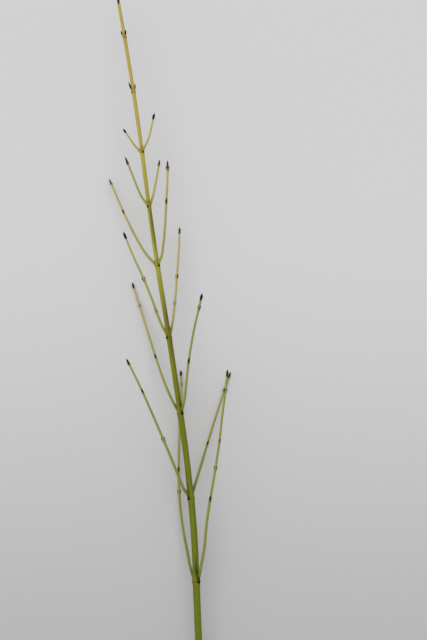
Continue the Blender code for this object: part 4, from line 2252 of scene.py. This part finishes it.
@dataclass(frozen=True)
class Studio:
    """A pale floor, soft light and the camera that looks straight down on the stem.

    Attributes:
        floor_size: Side of the square floor in metres.
        floor_gap: How far the floor is below the stem's box, in millimetres.
        floor_painted_shade: Colour of the floor before the cut, painted shade.
        floor_painted_light: Colour of the floor round the stem's upper half and beyond its tip,
            painted light.
        floor_far: Colour of the floor far away, painted as if it met the light from all round.
        floor_roughness: How matt the floor is.
        painted_shade_ends: Where along the stem, in metres, the floor's painted shade is still full
            and its painted light is full.
        far_starts: Distances, in metres, at which the far colour starts and has taken over.
        world_light: Strength of the light from all round.
        lamp_strength: Strength of the wide lamp.
        lamp_angle: How wide the lamp looks.
        lamp_tilt: Its tilt from straight down, about X and about Y.
        view_across: Camera's place to the right of the butt's middle, in millimetres.
        view_along: Camera's place up the stem from the heel.
        view_height: Its height.
        lens: Focal length in millimetres.
        sensor: Width of the sensor in millimetres.
        farthest: How far the camera sees, in metres.
    """

    floor_size: float = 40.0
    floor_gap: float = 0.5
    floor_painted_shade: Colour = shown(173, 172, 172)
    floor_painted_light: Colour = shown(206, 206, 207)
    floor_far: Colour = shown(217, 217, 218)
    floor_roughness: float = 0.9
    painted_shade_ends: tuple[float, float] = (-0.52, 0.28)
    far_starts: tuple[float, float] = (0.9, 3.0)
    world_light: float = 0.70
    lamp_strength: float = 1.10
    lamp_angle: float = radians(80)
    lamp_tilt: tuple[float, float] = (radians(-14), radians(-8))
    view_across: float = 10.0
    view_along: float = 621.0
    view_height: float = 2200.0
    lens: float = 101.25
    sensor: float = 36.0
    farthest: float = 50.0

    def floor(self, low: Array) -> None:
        """Lays the floor, which is a little dimmer before the cut, as part of the stage.

        Args:
            low: Lowest corner of the stem's box, in metres.
        """
        half = self.floor_size / 2
        height = float(low[2]) - self.floor_gap * MM
        corners = ((-half, -half), (half, -half), (half, half), (-half, half))
        mesh = bpy.data.meshes.new("floor")
        mesh.from_pydata([(*corner, height) for corner in corners], [], [(0, 1, 2, 3)])
        graph = Graph("floor")
        place = graph.add("ShaderNodeTexCoord", None, None, "Object")
        along = graph.add("ShaderNodeSeparateXYZ", None, {0: place}, "Y")
        away = graph.add("ShaderNodeVectorMath", {"operation": "LENGTH"}, {0: place}, "Value")
        # Painted light and shade on the floor: dimmer before the cut, brighter round the stem's
        # upper half, lighter again far away.
        colour = graph.mix(graph.between(along, *self.painted_shade_ends), self.floor_painted_shade, self.floor_painted_light)
        colour = graph.mix(graph.between(away, *self.far_starts), colour, self.floor_far)
        mesh.materials.append(graph.finish(colour, self.floor_roughness, 0.0))
        obj = placed("floor", mesh)
        obj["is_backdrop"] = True

    def light(self) -> None:
        """Even light from all round and one wide lamp from above, a little from the left."""
        world = bpy.data.worlds.new("studio")
        bpy.context.scene.world = world
        world.use_nodes = True
        background = world.node_tree.nodes["Background"]
        background.inputs["Color"].default_value = (1.0, 1.0, 1.0, 1.0)
        background.inputs["Strength"].default_value = self.world_light
        lamp = bpy.data.lights.new("lamp", "SUN")
        lamp.energy = self.lamp_strength
        lamp.angle = self.lamp_angle
        obj = placed("lamp", lamp)
        obj.rotation_euler = (*self.lamp_tilt, 0.0)

    def camera(self, line: StemLine) -> None:
        """Sets the camera above the stem, looking straight down with the tip towards its top.

        Args:
            line: The stem's line.
        """
        data = bpy.data.cameras.new("camera")
        data.lens = self.lens
        data.sensor_width = self.sensor
        data.clip_end = self.farthest
        obj = placed("camera", data)
        across, along = line.butt[0] + self.view_across, line.heel[1] + self.view_along
        obj.location = Vector((across, along, self.view_height)) * MM
        bpy.context.scene.camera = obj


def main() -> None:
    """Loads the frame, builds the stem and its twigs in order, and sets the studio round them."""
    logging.basicConfig(level=logging.INFO, format="%(name)s: %(message)s")
    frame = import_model()
    cad_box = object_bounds()
    nodes = frame["nodes"]

    stem = MainStem()
    line = stem.line(Shell.of(nodes[stem.node]))
    stem_bark, twig_bark = STEM_BARK.material(), TWIG_BARK.material()
    scales, wood = BudFinish().material(), WoodFinish().material()

    turns = []
    pattern = TWIG_PATTERN
    for height, both in zip(stem.twig_heights, TWIGS):
        place = line.place_of(height)
        found = []
        for twig in both:
            course = twig.course(Shell.of(nodes[twig.node]), line.course, place)
            bark = twig.bark(course, line.course.heading(place), height / line.reach, pattern)
            bark.piece(f"{twig.node}_bark", twig_bark, twig.node, Slot.TWIG_BARK)
            buds = twig.buds(course, pattern)
            buds.piece(f"{twig.node}_buds", scales, twig.node, Slot.BUD_SCALES)
            found.append(twig.turn_on(line.course, place, course))
            pattern += PATTERN_GAP
        turns.append((found[0], found[1]))

    pairs = stem.pairs(line, turns)
    stem.bark(line, pairs).piece("main_stem_bark", stem_bark, stem.node, Slot.STEM_BARK)
    stem.cut_face(line).piece("main_stem_cut_wood", wood, stem.node, Slot.CUT_WOOD)
    stem.buds(line).piece("main_stem_buds", scales, stem.node, Slot.BUD_SCALES)

    studio = Studio()
    studio.floor(cad_box[0])
    studio.light()
    studio.camera(line)
    bpy.context.scene.view_settings.view_transform = "Standard"


if __name__ == "__main__":
    main()
